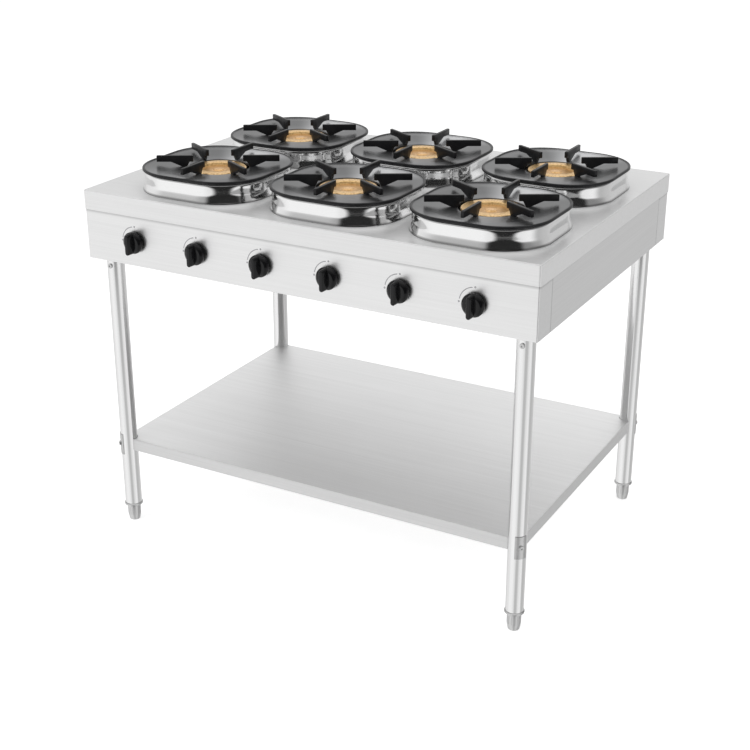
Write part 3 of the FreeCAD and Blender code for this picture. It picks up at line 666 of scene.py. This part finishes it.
# Gloss black moulding, the bare grey iron of the burner bowls, and grey ink on ground steel
knobPlastic = plainMaterial("knobPlastic", castSkin, {
    "colourFrom": "Speckle", "dark": (0.004, 0.004, 0.0045), "light": (0.007, 0.007, 0.0075),
    "roughFrom": "Speckle", "roughness": (0.10, 0.08), "bump": (0.05, 0.0003),
    "constants": {"Specular IOR Level": 0.30},
})
burnerCasting = plainMaterial("burnerCasting", castSkin, {
    "colourFrom": "Height", "dark": (0.10, 0.098, 0.095), "light": (0.19, 0.185, 0.18),
    "roughFrom": "Speckle", "roughness": (0.5, 0.2), "bump": (0.3, 0.0008),
    "constants": {"Metallic": 0.7},
})
dialPrint = plainMaterial("dialPrint", brushedGrain, {
    "inputs": {"Stretch": (6, 900, 900)},
    "colourFrom": "Lines", "dark": (0.30, 0.30, 0.31), "light": (0.38, 0.38, 0.39),
    "roughFrom": "Cloud", "roughness": (0.5, 0.15),
})
print("materials made")


# Deck: one folded sheet with a hole under each burner

# A bevel is a width and a number of steps.
deckShape = {"corner": (0.005, 5), "bend": (0.0022, 4), "gauge": 0.0015, "bore": 0.088,
             "boreDepth": 0.05, "boreSteps": 96}


def buildDeck(shape):
    low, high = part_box("deck")
    deck = block("deck_sheet", low, high)
    bevelEdges(deck, upright(deck), *shape["corner"])
    bevelEdges(deck, level(deck, high.z), *shape["bend"])
    dropFaces(deck, facing(-upward))
    thicken(deck, shape["gauge"])
    bores = [drill(shape["bore"], shape["boreDepth"], stationPlace(number, high.z), sides=shape["boreSteps"])
             for number in numbers]
    cutWith(deck, bores)
    finishPiece(deck, steel["deckShadedSheet"], "stand", "brushed_steel", "deck", angle=30, sheet=True)


buildDeck(deckShape)


# Body panels: folded sheets round the four sides

panelShape = {"lip": 0.018, "corner": (0.0035, 4), "bend": (0.0012, 3), "gauge": 0.0015}
holeShape = {"depth": 0.02, "knob": 0.006, "knobSteps": 32, "inlet": 0.0108, "inletSteps": 48}


def foldedPanel(name, node, openSides, material, tools, shape):
    low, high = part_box(node)
    panel = block(name, low, high)
    for side in (upward, *openSides):
        dropFaces(panel, facing(side))
    editWith(panel, "FACE", facing(-upward))
    bpy.ops.mesh.inset(thickness=shape["lip"], use_boundary=False)
    bpy.ops.mesh.delete(type="FACE")
    done()
    for test, bevel in ((upright(panel), "corner"), (outerBottom(panel, low.z), "bend")):
        whole = joinedEdges(panel)
        bevelEdges(panel, lambda edge: edge.index in whole and test(edge), *shape[bevel])
    outwardFaces(panel)
    thicken(panel, shape["gauge"])
    cutWith(panel, tools)
    finishPiece(panel, material, "stand", "brushed_steel", node, angle=30, sheet=True)


def joinedEdges(piece):
    # Edges with a face on both sides.
    counts = {}
    for face in piece.data.polygons:
        for key in face.edge_keys:
            counts[key] = counts.get(key, 0) + 1
    return {edge.index for edge in piece.data.edges if counts.get(tuple(sorted(edge.vertices)), 0) == 2}


def outerBottom(piece, height):
    # Edges of the bottom outline, where the walls turn into the lip.
    def onWall(edge):
        return any(abs(face.normal.z) < 1 - nearly and set(edge.vertices) <= set(face.vertices)
                   for face in piece.data.polygons)
    return lambda edge: level(piece, height)(edge) and onWall(edge)


knobPlaces = [centreOf(f"knob_{number}") for number in numbers]
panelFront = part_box("front_panel")[0].y
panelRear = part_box("rear_panel")[1].y
inletPlace = centreOf("gas_inlet")
knobHoles = [drill(holeShape["knob"], holeShape["depth"], (place.x, panelFront, place.z), lengthwise,
                   holeShape["knobSteps"]) for place in knobPlaces]
inletHole = drill(holeShape["inlet"], holeShape["depth"], (inletPlace.x, panelRear, inletPlace.z), lengthwise,
                  holeShape["inletSteps"])
panels = (
    ("front_panel_sheet", "front_panel", (toRear,), "panelAcross", knobHoles),
    ("rear_panel_sheet", "rear_panel", (-toRear,), "panelAcross", [inletHole]),
    ("left_panel_sheet", "side_panel_left", (toRight, toRear, -toRear), "sheetAlong", ()),
    ("right_panel_sheet", "side_panel_right", (-toRight, toRear, -toRear), "sheetAlong", ()),
)
for name, node, openSides, look, tools in panels:
    foldedPanel(name, node, openSides, steel[look], tools, panelShape)
print("deck and panels built")


# Surrounds: polished rings that stand on the deck

def drawnSquare(name, shape, profile):
    # A loop with rounded corners and divided sides, drawn out through the profile and left in edit mode.
    freshStart()
    half, height = profile[0]
    radius, steps = shape["corner"]
    bpy.ops.mesh.primitive_plane_add(size=2 * half, location=(0, 0, height))
    piece = named(name)
    editAll(piece)
    bpy.ops.mesh.bevel(offset=radius, segments=steps, affect="VERTICES")
    bpy.ops.mesh.delete(type="ONLY_FACE")
    done()
    straight = nearly * 2 * (half - radius)
    editWith(piece, "EDGE", lambda edge: (ends(piece, edge)[0] - ends(piece, edge)[1]).length > straight)
    bpy.ops.mesh.subdivide(number_cuts=shape["sideCuts"])
    done()
    editAll(piece)
    drawOut(profile)
    return piece


surroundShape = {
    "corner": (0.106, 24),
    "sideCuts": 5,
    "profile": ((0.1460, 0.0), (0.1460, 0.0006), (0.1455, 0.0018), (0.1447, 0.0044), (0.1438, 0.0076),
                (0.1429, 0.0108), (0.1421, 0.0137), (0.1415, 0.0162), (0.1412, 0.0184), (0.1411, 0.0210),
                (0.1411, 0.0260), (0.1410, 0.0320), (0.1406, 0.0355), (0.1399, 0.0380), (0.1387, 0.0397),
                (0.1370, 0.0407), (0.1320, 0.0410)),
    "gauge": 0.0012,
}


def buildSurrounds(shape):
    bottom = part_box("surround_1")[0].z
    master = drawnSquare("surround_master", shape, shape["profile"])
    done()
    outwardFaces(master)
    thicken(master, shape["gauge"])
    for number in numbers:
        ring = copyTo(master, f"surround_ring_{number}", stationPlace(number, bottom))
        finishPiece(ring, steel["polishedSteel"], "stand", "polished_steel", f"surround_{number}", angle=50)
    discard(master)


buildSurrounds(surroundShape)


# Pan supports: dished plate with a raised rim and six claws

supportShape = {
    "corner": (0.0985, 24),
    "sideCuts": 8,
    "rim": ((0.1360, 0.0), (0.1440, 0.0), (0.1450, 0.0010), (0.1450, 0.0044), (0.1443, 0.0054),
            (0.1432, 0.0060), (0.1414, 0.0060), (0.1405, 0.0055), (0.1395, 0.0040)),
    "dish": ((0.1290, 0.0040), (0.1250, 0.0038), (0.1190, 0.0032), (0.1080, 0.0021), (0.0960, 0.0009),
             (0.0830, -0.0005), (0.0740, -0.0014), (0.0690, -0.0019), (0.0670, -0.0022), (0.0660, -0.0031),
             (0.0662, -0.0056), (0.0675, -0.0060), (0.0830, -0.0045), (0.1080, -0.0019), (0.1190, -0.0008),
             (0.1250, 0.0)),
    "clawGauge": 0.007,
    "clawReach": 0.131,
    "clawTip": 0.053,
    "clawTop": 0.023,
    "clawArm": 0.0095,
    "clawCuts": (0.0610, 0.0677, 0.0760, 0.1010),
    "clawRoot": (0.0095, -0.0040, -0.0015, 0.0095),
    "clawSharp": 15,
    "clawBevel": (0.0011, 2),
    "clawCount": 6,
}


def buildPlate(shape):
    # Drawn from under the rim over its top, rounded to a circle, down the dish and back under it.
    plate = drawnSquare("support_master", shape, shape["rim"])
    roundLoop(plate, shape["rim"][-1][1], *shape["dish"][0])
    drawOut(shape["dish"])
    done()
    half, height = shape["rim"][0]
    whole = joinedEdges(plate)
    editWith(plate, "EDGE", lambda edge: edge.index not in whole
             and all(max(abs(end.x), abs(end.y)) > half - tiny or end.xy.length > half
                     for end in ends(plate, edge)))
    roundLoop(plate, height, *shape["dish"][-1])
    done()
    outwardFaces(plate)
    return plate


def roundLoop(piece, height, radius, nextHeight):
    # Draws the selected loop out once more and rounds it to a circle of the wanted radius.
    bpy.ops.mesh.extrude_region_move(TRANSFORM_OT_translate={"value": (0, 0, nextHeight - height)})
    bpy.ops.transform.tosphere(value=1, center_override=(0, 0, nextHeight))
    done()
    chosen = [vertex.co for vertex in piece.data.vertices if vertex.select]
    reach = sum(place.xy.length for place in chosen) / len(chosen)
    bpy.ops.object.mode_set(mode="EDIT")
    share = radius / reach
    bpy.ops.transform.resize(value=(share, share, 1), center_override=(0, 0, nextHeight))


def buildClaw(shape):
    # A bar from the tip to the rim, drawn down to a root at the edge of the plate's hole.
    half = shape["clawGauge"] / 2
    arm = shape["clawArm"]
    claw = block("claw_master", (-half, shape["clawTip"], arm), (half, shape["clawReach"], shape["clawTop"]))
    for place in shape["clawCuts"]:
        editAll(claw)
        bpy.ops.mesh.bisect(plane_co=(0, place, 0), plane_no=(0, 1, 0))
        done()
    for place, low in zip(shape["clawCuts"], shape["clawRoot"]):
        editWith(claw, "VERT", lambda vertex: abs(vertex.co.y - place) < tiny and vertex.co.z < arm + tiny)
        bpy.ops.transform.translate(value=(0, 0, low - arm))
        done()
    editWith(claw, "EDGE", lambda edge: False)
    bpy.ops.mesh.edges_select_sharp(sharpness=math.radians(shape["clawSharp"]))
    width, steps = shape["clawBevel"]
    bpy.ops.mesh.bevel(offset=width, segments=steps, affect="EDGES")
    done()
    outwardFaces(claw)
    return claw


def buildSupports(shape):
    plate = buildPlate(shape)
    claw = buildClaw(shape)
    count = shape["clawCount"]
    for number in numbers:
        body = f"pan_support_{number}"
        place = stationPlace(number, ledgeTop)
        members = [copyTo(plate, "plate_copy", place)]
        for index in range(count):
            members.append(copyTo(claw, "claw_copy", place, (0, 0, 2 * math.pi * index / count)))
        support = joined(f"pan_support_casting_{number}", members)
        finishPiece(support, castIron, body, "cast_iron", body, angle=40)
    discard(plate, claw)


buildSupports(supportShape)
print("surrounds and pan supports built")


# Burner caps: turned brass with a ported edge

capShape = {
    "profile": ((0.0465, 0.0030), (0.0465, -0.0040), (0.0500, -0.0040), (0.0505, -0.0034), (0.0505, 0.0),
                (0.0588, 0.0), (0.0600, 0.0010), (0.0600, 0.0022), (0.0600, 0.0084), (0.0600, 0.0108),
                (0.0594, 0.0126), (0.0578, 0.0137), (0.0555, 0.0140), (0.0435, 0.0140), (0.0400, 0.0138),
                (0.0380, 0.0128), (0.0368, 0.0104), (0.0356, 0.0086), (0.0335, 0.0080), (0.0150, 0.0080),
                (0.0126, 0.0083), (0.0114, 0.0095), (0.0096, 0.0102), (0.0046, 0.0105), (0.0, 0.0105)),
    "steps": 128,
    "ports": {"ring": 0.059, "low": 0.0022, "high": 0.0084, "every": 4, "wide": 2, "inset": 0.0003,
              "depth": 0.0035},
}


def buildCaps(shape):
    master = turned("cap_master", shape["profile"], shape["steps"], fillStart=True)
    sinkBand(master, shape["steps"], shape["ports"])
    for number in numbers:
        body = f"burner_cap_{number}"
        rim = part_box(f"burner_{number}")[1].z
        cap = copyTo(master, f"cap_{number}", stationPlace(number, rim))
        finishPiece(cap, brass, body, "brass", body, angle=32)
    discard(master)


buildCaps(capShape)


# Knobs: turned skirt with a bar grip, and a printed dial arc behind each

knobShape = {
    "profile": ((0.0060, 0.0008), (0.0060, 0.0), (0.0215, 0.0), (0.0230, 0.0005), (0.0235, 0.0014),
                (0.0235, 0.0052), (0.0231, 0.0064), (0.0221, 0.0074), (0.0205, 0.0086), (0.0188, 0.0099),
                (0.0168, 0.0108), (0.0120, 0.0113), (0.0, 0.0116)),
    "steps": 72,
    "gripWidth": 0.0122,
    "gripLength": 0.0456,
    "gripLow": 0.0050,
    "gripRound": (0.0058, 8),
    "gripTaper": (0.80, 0.97, 1),
    "gripEdge": (0.0022, 4),
}


def buildKnobs(shape):
    skirt = turned("knob_master", shape["profile"], shape["steps"], fillStart=True)
    low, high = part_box("knob_1")
    height = high.y - low.y
    halfWidth = shape["gripWidth"] / 2
    halfLength = shape["gripLength"] / 2
    grip = block("knob_grip", (-halfWidth, -halfLength, shape["gripLow"]), (halfWidth, halfLength, height))
    bevelEdges(grip, upright(grip), *shape["gripRound"])
    editWith(grip, "FACE", facing(upward))
    bpy.ops.transform.resize(value=shape["gripTaper"], center_override=(0, 0, height))
    done()
    bevelEdges(grip, level(grip, height), *shape["gripEdge"])
    master = setDown(joined("knob_master", [skirt, grip]), turn=lengthwise)
    outwardFaces(master)
    for number, place in zip(numbers, knobPlaces):
        body = f"knob_{number}"
        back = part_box(body)[1].y
        knob = copyTo(master, f"knob_cap_{number}", (place.x, back, place.z))
        finishPiece(knob, knobPlastic, body, "knob_plastic", body, angle=40)
    discard(master)


buildKnobs(knobShape)

dialShape = {"radius": 0.0325, "width": 0.0019, "lift": 0.00012, "arcStart": 10, "arcEnd": 80, "arcSteps": 22,
             "dotRadius": 0.0021, "dotEdge": (0.9, 0.7), "dotPlace": 0.0330, "dotSteps": 20}


def buildDials(shape):
    # The arc runs from twelve to nine o'clock, with a dot at each end, as thin print on the panel.
    lift = shape["lift"]
    halfWidth = shape["width"] / 2
    radii = (shape["radius"] - halfWidth, shape["radius"] + halfWidth)
    arc = spunStrip("dial_arc", radii, (-lift, lift), shape["arcEnd"] - shape["arcStart"], shape["arcSteps"])
    members = [setDown(arc, turn=(0, 0, math.radians(90 + shape["arcEnd"])))]
    radius = shape["dotRadius"]
    across, up = shape["dotEdge"]
    profile = ((radius, -lift), (radius, lift * up), (radius * across, lift), (0.0, lift))
    for place in (toRear, -toRight):
        dot = turned("dial_dot", profile, shape["dotSteps"])
        members.append(setDown(dot, place * shape["dotPlace"]))
    master = joined("dial_master", members)
    outwardFaces(master)
    setDown(master, turn=lengthwise)
    for number, place in zip(numbers, knobPlaces):
        dial = copyTo(master, f"dial_print_{number}", (place.x, panelFront, place.z))
        finishPiece(dial, dialPrint, "stand", "brushed_steel")
    discard(master)


buildDials(dialShape)
print("caps, knobs and dials built")


# Legs, rings and feet

legShape = {"radius": 0.019, "bore": 0.0175, "edge": 0.0004, "steps": 72}
ringShape = {"radius": 0.021, "edge": 0.0012, "steps": 64, "bore": 0.0065, "boreDepth": 0.002, "plug": 0.0172}
footShape = {
    "profile": ((0.0105, 0.0), (0.0118, 0.0008), (0.0125, 0.0022), (0.0150, 0.0160), (0.0150, 0.0350),
                (0.0146, 0.0384), (0.0136, 0.0397), (0.0060, 0.0397), (0.0060, 0.0720)),
    "steps": 64,
    "flutes": {"ring": 0.014, "low": 0.016, "high": 0.035, "every": 4, "wide": 1, "inset": 0.0003,
               "depth": 0.0007},
}


def buildLegs(shape):
    radius, bore, edge = pick(shape, "radius", "bore", "edge")
    for number in corners:
        node = f"leg_{number}"
        low, high = (corner.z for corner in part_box(node))
        profile = ((bore, low), (radius - edge, low), (radius, low + edge), (radius, high - edge),
                   (radius - edge, high), (bore, high))
        leg = turned(f"leg_tube_{number}", profile, shape["steps"])
        loops = [ringTest(leg, bore, height) for height in (low, high)]
        editWith(leg, "EDGE", lambda item: any(test(item) for test in loops))
        bpy.ops.mesh.bridge_edge_loops()
        done()
        outwardFaces(leg)
        setDown(leg, legPlace(number))
        finishPiece(leg, steel["tubeSteel"], "stand", "polished_steel", node)


def buildRings(shape):
    radius, bore, plug, edge = pick(shape, "radius", "bore", "plug", "edge")
    bottom, top = (corner.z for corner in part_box("foot_inserts"))
    members = []
    for number in corners:
        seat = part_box(f"leg_{number}")[0].z
        profile = ((bore, bottom + shape["boreDepth"]), (bore, bottom), (radius - edge, bottom),
                   (radius, bottom + edge), (radius, seat - edge), (radius - edge, seat),
                   (plug, seat), (plug, top - edge), (plug - edge, top), (0.0, top))
        members.append(setDown(turned("foot_ring", profile, shape["steps"]), legPlace(number)))
    rings = joined("foot_insert_rings", members)
    finishPiece(rings, steel["fittingSteel"], "stand", "bright_steel", "foot_inserts")


def buildFeet(shape):
    master = turned("foot_master", shape["profile"], shape["steps"], fillStart=True)
    fillRing(master, *shape["profile"][-1])
    outwardFaces(master)
    sinkBand(master, shape["steps"], shape["flutes"])
    for number in corners:
        node = f"foot_{number}"
        foot = copyTo(master, f"levelling_foot_{number}", placeOver(node))
        finishPiece(foot, steel["footSteel"], node, "foot_steel", node, angle=28)
    discard(master)


buildLegs(legShape)
buildRings(ringShape)
buildFeet(footShape)


# Screws and saddle plates

# The crown is the head's edge, in shares of "edge" inward and down from its top corner.
screwShape = {"shank": 0.003, "head": 0.0055, "headHeight": 0.003, "edge": 0.0009,
              "crown": ((0.0, 1.0), (0.4, 0.3), (1.4, 0.0)), "recess": 0.0022, "recessRing": 1.3,
              "recessDepth": 0.0016, "recessSides": 6, "steps": 36}
saddleShape = {"radius": 0.019, "gauge": 0.0015, "arc": 76, "steps": 22, "height": 0.050}


def buildScrew(shape, length):
    # Along +Z: the shank below zero, the head above it with a six-sided recess.
    shank, head, tall, edge, recess = pick(shape, "shank", "head", "headHeight", "edge", "recess")
    crown = [(head - edge * inward, tall - edge * down) for inward, down in shape["crown"]]
    profile = ((shank, -length), (shank, 0.0), (head, 0.0), *crown, (recess * shape["recessRing"], tall),
               (0.0, tall))
    screw = turned("screw_master", profile, shape["steps"], fillStart=True)
    cutWith(screw, [drill(recess, 2 * shape["recessDepth"], (0, 0, tall), sides=shape["recessSides"])])
    return screw


def buildScrews(shape, node, name, reach, length, outwardFrom):
    master = buildScrew(shape, length)
    height = centreOf(node).z
    members = []
    for number in corners:
        middle = legPlace(number, height)
        outward = outwardFrom(middle)
        turn = outward.to_track_quat("Z", "Y").to_euler()
        members.append(copyTo(master, "screw", middle + outward * reach, turn))
    discard(master)
    screws = joined(name, members)
    finishPiece(screws, steel["fittingSteel"], "stand", "bright_steel", node)


def lengthwiseOut(middle):
    return Vector((0, math.copysign(1, middle.y), 0))


def diagonalOut(middle):
    return Vector((math.copysign(1, middle.x), math.copysign(1, middle.y), 0)).normalized()


buildScrews(screwShape, "leg_set_screws", "leg_set_screw_heads", reach=0.019, length=0.0016,
            outwardFrom=lengthwiseOut)
buildScrews(screwShape, "shelf_screws", "shelf_screw_heads", reach=0.0205, length=0.0455,
            outwardFrom=diagonalOut)


def buildSaddles(shape):
    # A plate curved round each tube, spun from an upright strip.
    half = shape["height"] / 2
    radii = (shape["radius"], shape["radius"] + shape["gauge"])
    master = spunStrip("saddle_master", radii, (-half, half), shape["arc"], shape["steps"])
    outwardFaces(master)
    height = centreOf("shelf_screws").z
    members = []
    for number in corners:
        middle = legPlace(number, height)
        outward = diagonalOut(middle)
        turn = math.atan2(outward.y, outward.x) + math.radians(shape["arc"] / 2)
        members.append(copyTo(master, "saddle_strip", middle, (0, 0, turn)))
    discard(master)
    saddles = joined("shelf_saddle_plates", members)
    finishPiece(saddles, steel["fittingSteel"], "stand", "bright_steel", "shelf_saddles")


buildSaddles(saddleShape)
print("legs, feet and screws built")


# Undershelf: a tray whose corners hug the legs

shelfShape = {"gauge": 0.0015, "seat": 0.0193, "seatDepth": 0.2, "bend": (0.0018, 3)}


def buildShelf(shape):
    low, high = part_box("shelf")
    shelf = block("undershelf", low, high)
    cutWith(shelf, [drill(shape["seat"], shape["seatDepth"], legPlace(number, high.z)) for number in corners])
    dropFaces(shelf, facing(-upward))
    bevelEdges(shelf, level(shelf, high.z), *shape["bend"])
    outwardFaces(shelf)
    thicken(shelf, shape["gauge"])
    finishPiece(shelf, steel["shelfSheet"], "stand", "brushed_steel", "shelf", sheet=True)


buildShelf(shelfShape)


# Gas inlet: threaded stub with a hexagon nut

inletShape = {"bore": 0.008, "boreDepth": 0.002, "radius": 0.0105, "lead": 0.0006, "threadRoot": 0.0098,
              "pitch": 0.0018, "runOut": 0.001, "steps": 48, "nutRadius": 0.017, "nutHeight": 0.008,
              "nutSides": 6, "nutGap": 0.0006, "nutBevel": (0.0007, 2)}


def buildInlet(shape):
    low, high = (corner.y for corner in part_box("gas_inlet"))
    length = high - low
    bore, radius, root, pitch = pick(shape, "bore", "radius", "threadRoot", "pitch")
    nutStart = panelRear - low
    nutEnd = nutStart + shape["nutHeight"]
    mouth = (bore, shape["boreDepth"])
    profile = [mouth, (bore, 0.0), (radius - shape["lead"], 0.0), (radius, nutStart)]
    height = nutEnd + shape["nutGap"]
    while height + pitch < length - shape["runOut"]:
        profile += [(root, height), (radius, height + pitch / 2)]
        height += pitch
    profile += [(root, length), (bore, length), mouth]
    stub = turned("inlet_stub", profile, shape["steps"])
    nutMiddle = (0, 0, (nutStart + nutEnd) / 2)
    nut = drill(shape["nutRadius"], shape["nutHeight"], nutMiddle, sides=shape["nutSides"])
    bevelEdges(nut, lambda edge: True, *shape["nutBevel"])
    inlet = joined("gas_inlet_fitting", [stub, nut])
    setDown(inlet, (inletPlace.x, low, inletPlace.z), (-math.pi / 2, 0, 0))
    finishPiece(inlet, brass, "stand", "brass", "gas_inlet")


buildInlet(inletShape)
print("shelf and inlet built")


# CAD nodes that stay take better materials

keptLooks = {
    "burner_rails": steel["hiddenSteel"],
    "leg_sockets": steel["hiddenSteel"],
    "manifold_pipe": steel["pipeSteel"],
    "gas_pipes": steel["pipeAluminium"],
    "gas_valves": brass,
}
for number in numbers:
    keptLooks[f"burner_{number}"] = burnerCasting
    keptLooks[f"valve_spindle_{number}"] = steel["fittingSteel"]
for node, material in keptLooks.items():
    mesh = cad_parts[node].data
    mesh.materials.clear()
    mesh.materials.append(material)


# Floor, world, lamps and camera

stageLook = {"floorSize": 30.0, "floorColour": 0.86, "floorGrain": 0.01, "floorScale": 3.0, "floorRough": 0.9,
             "floorGlow": 0.55, "skyDiffuse": 0.55}
white = (1.0, 1.0, 1.0)


def buildFloor(look):
    freshStart()
    bpy.ops.mesh.primitive_plane_add(size=look["floorSize"], location=(0, 0, 0))
    floor = named("studio_floor")
    material, shader, place = newMaterial("studioFloor")
    tone = look["floorColour"]
    grain = noise(place, look["floorScale"])
    colour = spread(grain, (tone,) * 3, (tone + look["floorGrain"],) * 3)
    wire(colour, shader["Base Color"])
    setSockets(shader, {"Roughness": look["floorRough"], "Specular IOR Level": 0.0,
                        "Emission Color": (*white, 1), "Emission Strength": look["floorGlow"]})
    floor.data.materials.append(material)
    floor.visible_glossy = False


buildFloor(stageLook)

# Tones round the studio, by turn, at three heights, and where each next one takes over
studioLow = ((0.00, 0.70), (0.08, 0.60), (0.14, 0.55), (0.195, 0.50), (0.26, 0.92), (0.33, 0.85),
             (0.40, 0.55), (0.44, 0.55), (0.49, 0.85), (0.55, 0.97), (0.62, 0.98), (0.72, 0.85),
             (0.90, 0.66), (1.00, 0.70))
studioHigh = ((0.00, 0.90), (0.025, 0.80), (0.05, 0.26), (0.10, 0.20), (0.20, 0.22), (0.33, 0.24),
              (0.45, 0.28), (0.50, 0.38), (0.60, 0.46), (0.72, 0.60), (0.85, 0.76), (0.905, 0.80),
              (0.94, 0.92), (1.00, 0.90))
studioDish = ((0.00, 1.00), (0.05, 0.80), (0.15, 0.60), (0.25, 0.60), (0.33, 0.34), (0.45, 0.28),
              (0.60, 0.34), (0.72, 0.70), (0.80, 0.92), (0.89, 0.95), (0.95, 1.00), (1.00, 1.00))
studioSteps = {"high": (0.05, 0.22), "dish": (0.47, 0.56), "overhead": (0.60, 0.85)}
cameraShadow = {"middle": 0.41, "half": 0.055, "spread": 0.06, "soft": 0.022, "low": -0.30, "high": 0.42,
                "tone": 0.02}


def greyStops(stops):
    return tuple((place, (tone, tone, tone)) for place, tone in stops)


def softStep(value, start, finish):
    step = addNode(value.id_data, "ShaderNodeMapRange", interpolation_type="SMOOTHSTEP")
    setSockets(step.inputs, {"From Min": start, "From Max": finish})
    wire(value, step.inputs["Value"])
    return step.outputs[0]


def shadowMask(turn, height, look):
    # The dark place behind the camera, wider above, which the polished corners show.
    soft = look["soft"]
    away = mathNode("ABSOLUTE", mathNode("SUBTRACT", turn, look["middle"]))
    wider = mathNode("MULTIPLY", softStep(height, look["low"], look["high"]), look["spread"])
    sides = softStep(mathNode("SUBTRACT", away, wider), look["half"] + soft, look["half"] - soft)
    rise = mathNode("SUBTRACT", softStep(height, look["low"] - soft, look["low"] + soft),
                    softStep(height, look["high"] - soft, look["high"] + soft))
    return mathNode("MULTIPLY", sides, rise)


def buildWorld(look):
    world = bpy.data.worlds.new("studio")
    bpy.context.scene.world = world
    world.use_nodes = True
    tree = world.node_tree
    tree.nodes.clear()
    output = addNode(tree, "ShaderNodeOutputWorld")
    background = addNode(tree, "ShaderNodeBackground")
    wire(background.outputs[0], output.inputs["Surface"])
    coordinates = addNode(tree, "ShaderNodeTexCoord")
    parts = axes(coordinates.outputs["Generated"])
    height = parts["Z"]
    azimuth = mathNode("ARCTAN2", parts["X"], parts["Y"])
    turn = mathNode("FRACT", mathNode("DIVIDE", azimuth, 2 * math.pi))
    ring = ramp(turn, greyStops(studioLow), "EASE")
    for step, stops in (("high", studioHigh), ("dish", studioDish)):
        tones = ramp(turn, greyStops(stops), "EASE")
        ring = mixColour(softStep(height, *studioSteps[step]), ring, tones)
    shadow = shadowMask(turn, height, cameraShadow)
    ring = mixColour(shadow, ring, (cameraShadow["tone"],) * 3)
    studio = mixColour(softStep(height, *studioSteps["overhead"]), ring, white)
    path = addNode(tree, "ShaderNodeLightPath")
    plain = mixColour(path.outputs["Is Camera Ray"], (look["skyDiffuse"],) * 3, white)
    seen = mathNode("MAXIMUM", path.outputs["Is Glossy Ray"], path.outputs["Is Transmission Ray"])
    wire(mixColour(seen, plain, studio), background.inputs["Color"])


buildWorld(stageLook)

lampLooks = {
    "keyLamp": {"place": (-1.6, -2.6, 2.9), "aim": (0, 0, 0.6), "size": 1.6, "power": 30.0},
    "fillLamp": {"place": (2.8, -1.2, 2.4), "aim": (0, 0, 0.6), "size": 1.6, "power": 16.0},
    "topLamp": {"place": (0.2, 0.4, 3.4), "aim": (0, 0, 0.8), "size": 2.2, "power": 26.0},
    "sideLamp": {"place": (-2.2, -2.2, 1.9), "aim": (0, -0.3, 0.7), "size": 1.5, "power": 16.0},
}
cameraLook = {"place": (1.4156, -2.5995, 1.5967), "aim": (-0.019, 0.0, 0.3394), "lens": 67.2, "sensor": 36.0}


def aimed(name, data, look):
    made = bpy.data.objects.new(name, data)
    bpy.context.scene.collection.objects.link(made)
    made.location = look["place"]
    aim = Vector(look["aim"]) - Vector(look["place"])
    made.rotation_euler = aim.to_track_quat("-Z", "Y").to_euler()
    return made


def buildLamps(looks):
    for name, look in looks.items():
        data = bpy.data.lights.new(name, "AREA")
        data.size = look["size"]
        data.energy = look["power"]
        aimed(name, data, look).visible_glossy = False


def buildCamera(look):
    data = bpy.data.cameras.new("camera")
    data.lens = look["lens"]
    data.sensor_width = look["sensor"]
    bpy.context.scene.camera = aimed("camera", data, look)


buildLamps(lampLooks)
buildCamera(cameraLook)
bpy.context.scene.view_settings.view_transform = "Standard"
freshStart()
bpy.context.view_layer.update()

print("stage, lamps and camera set")
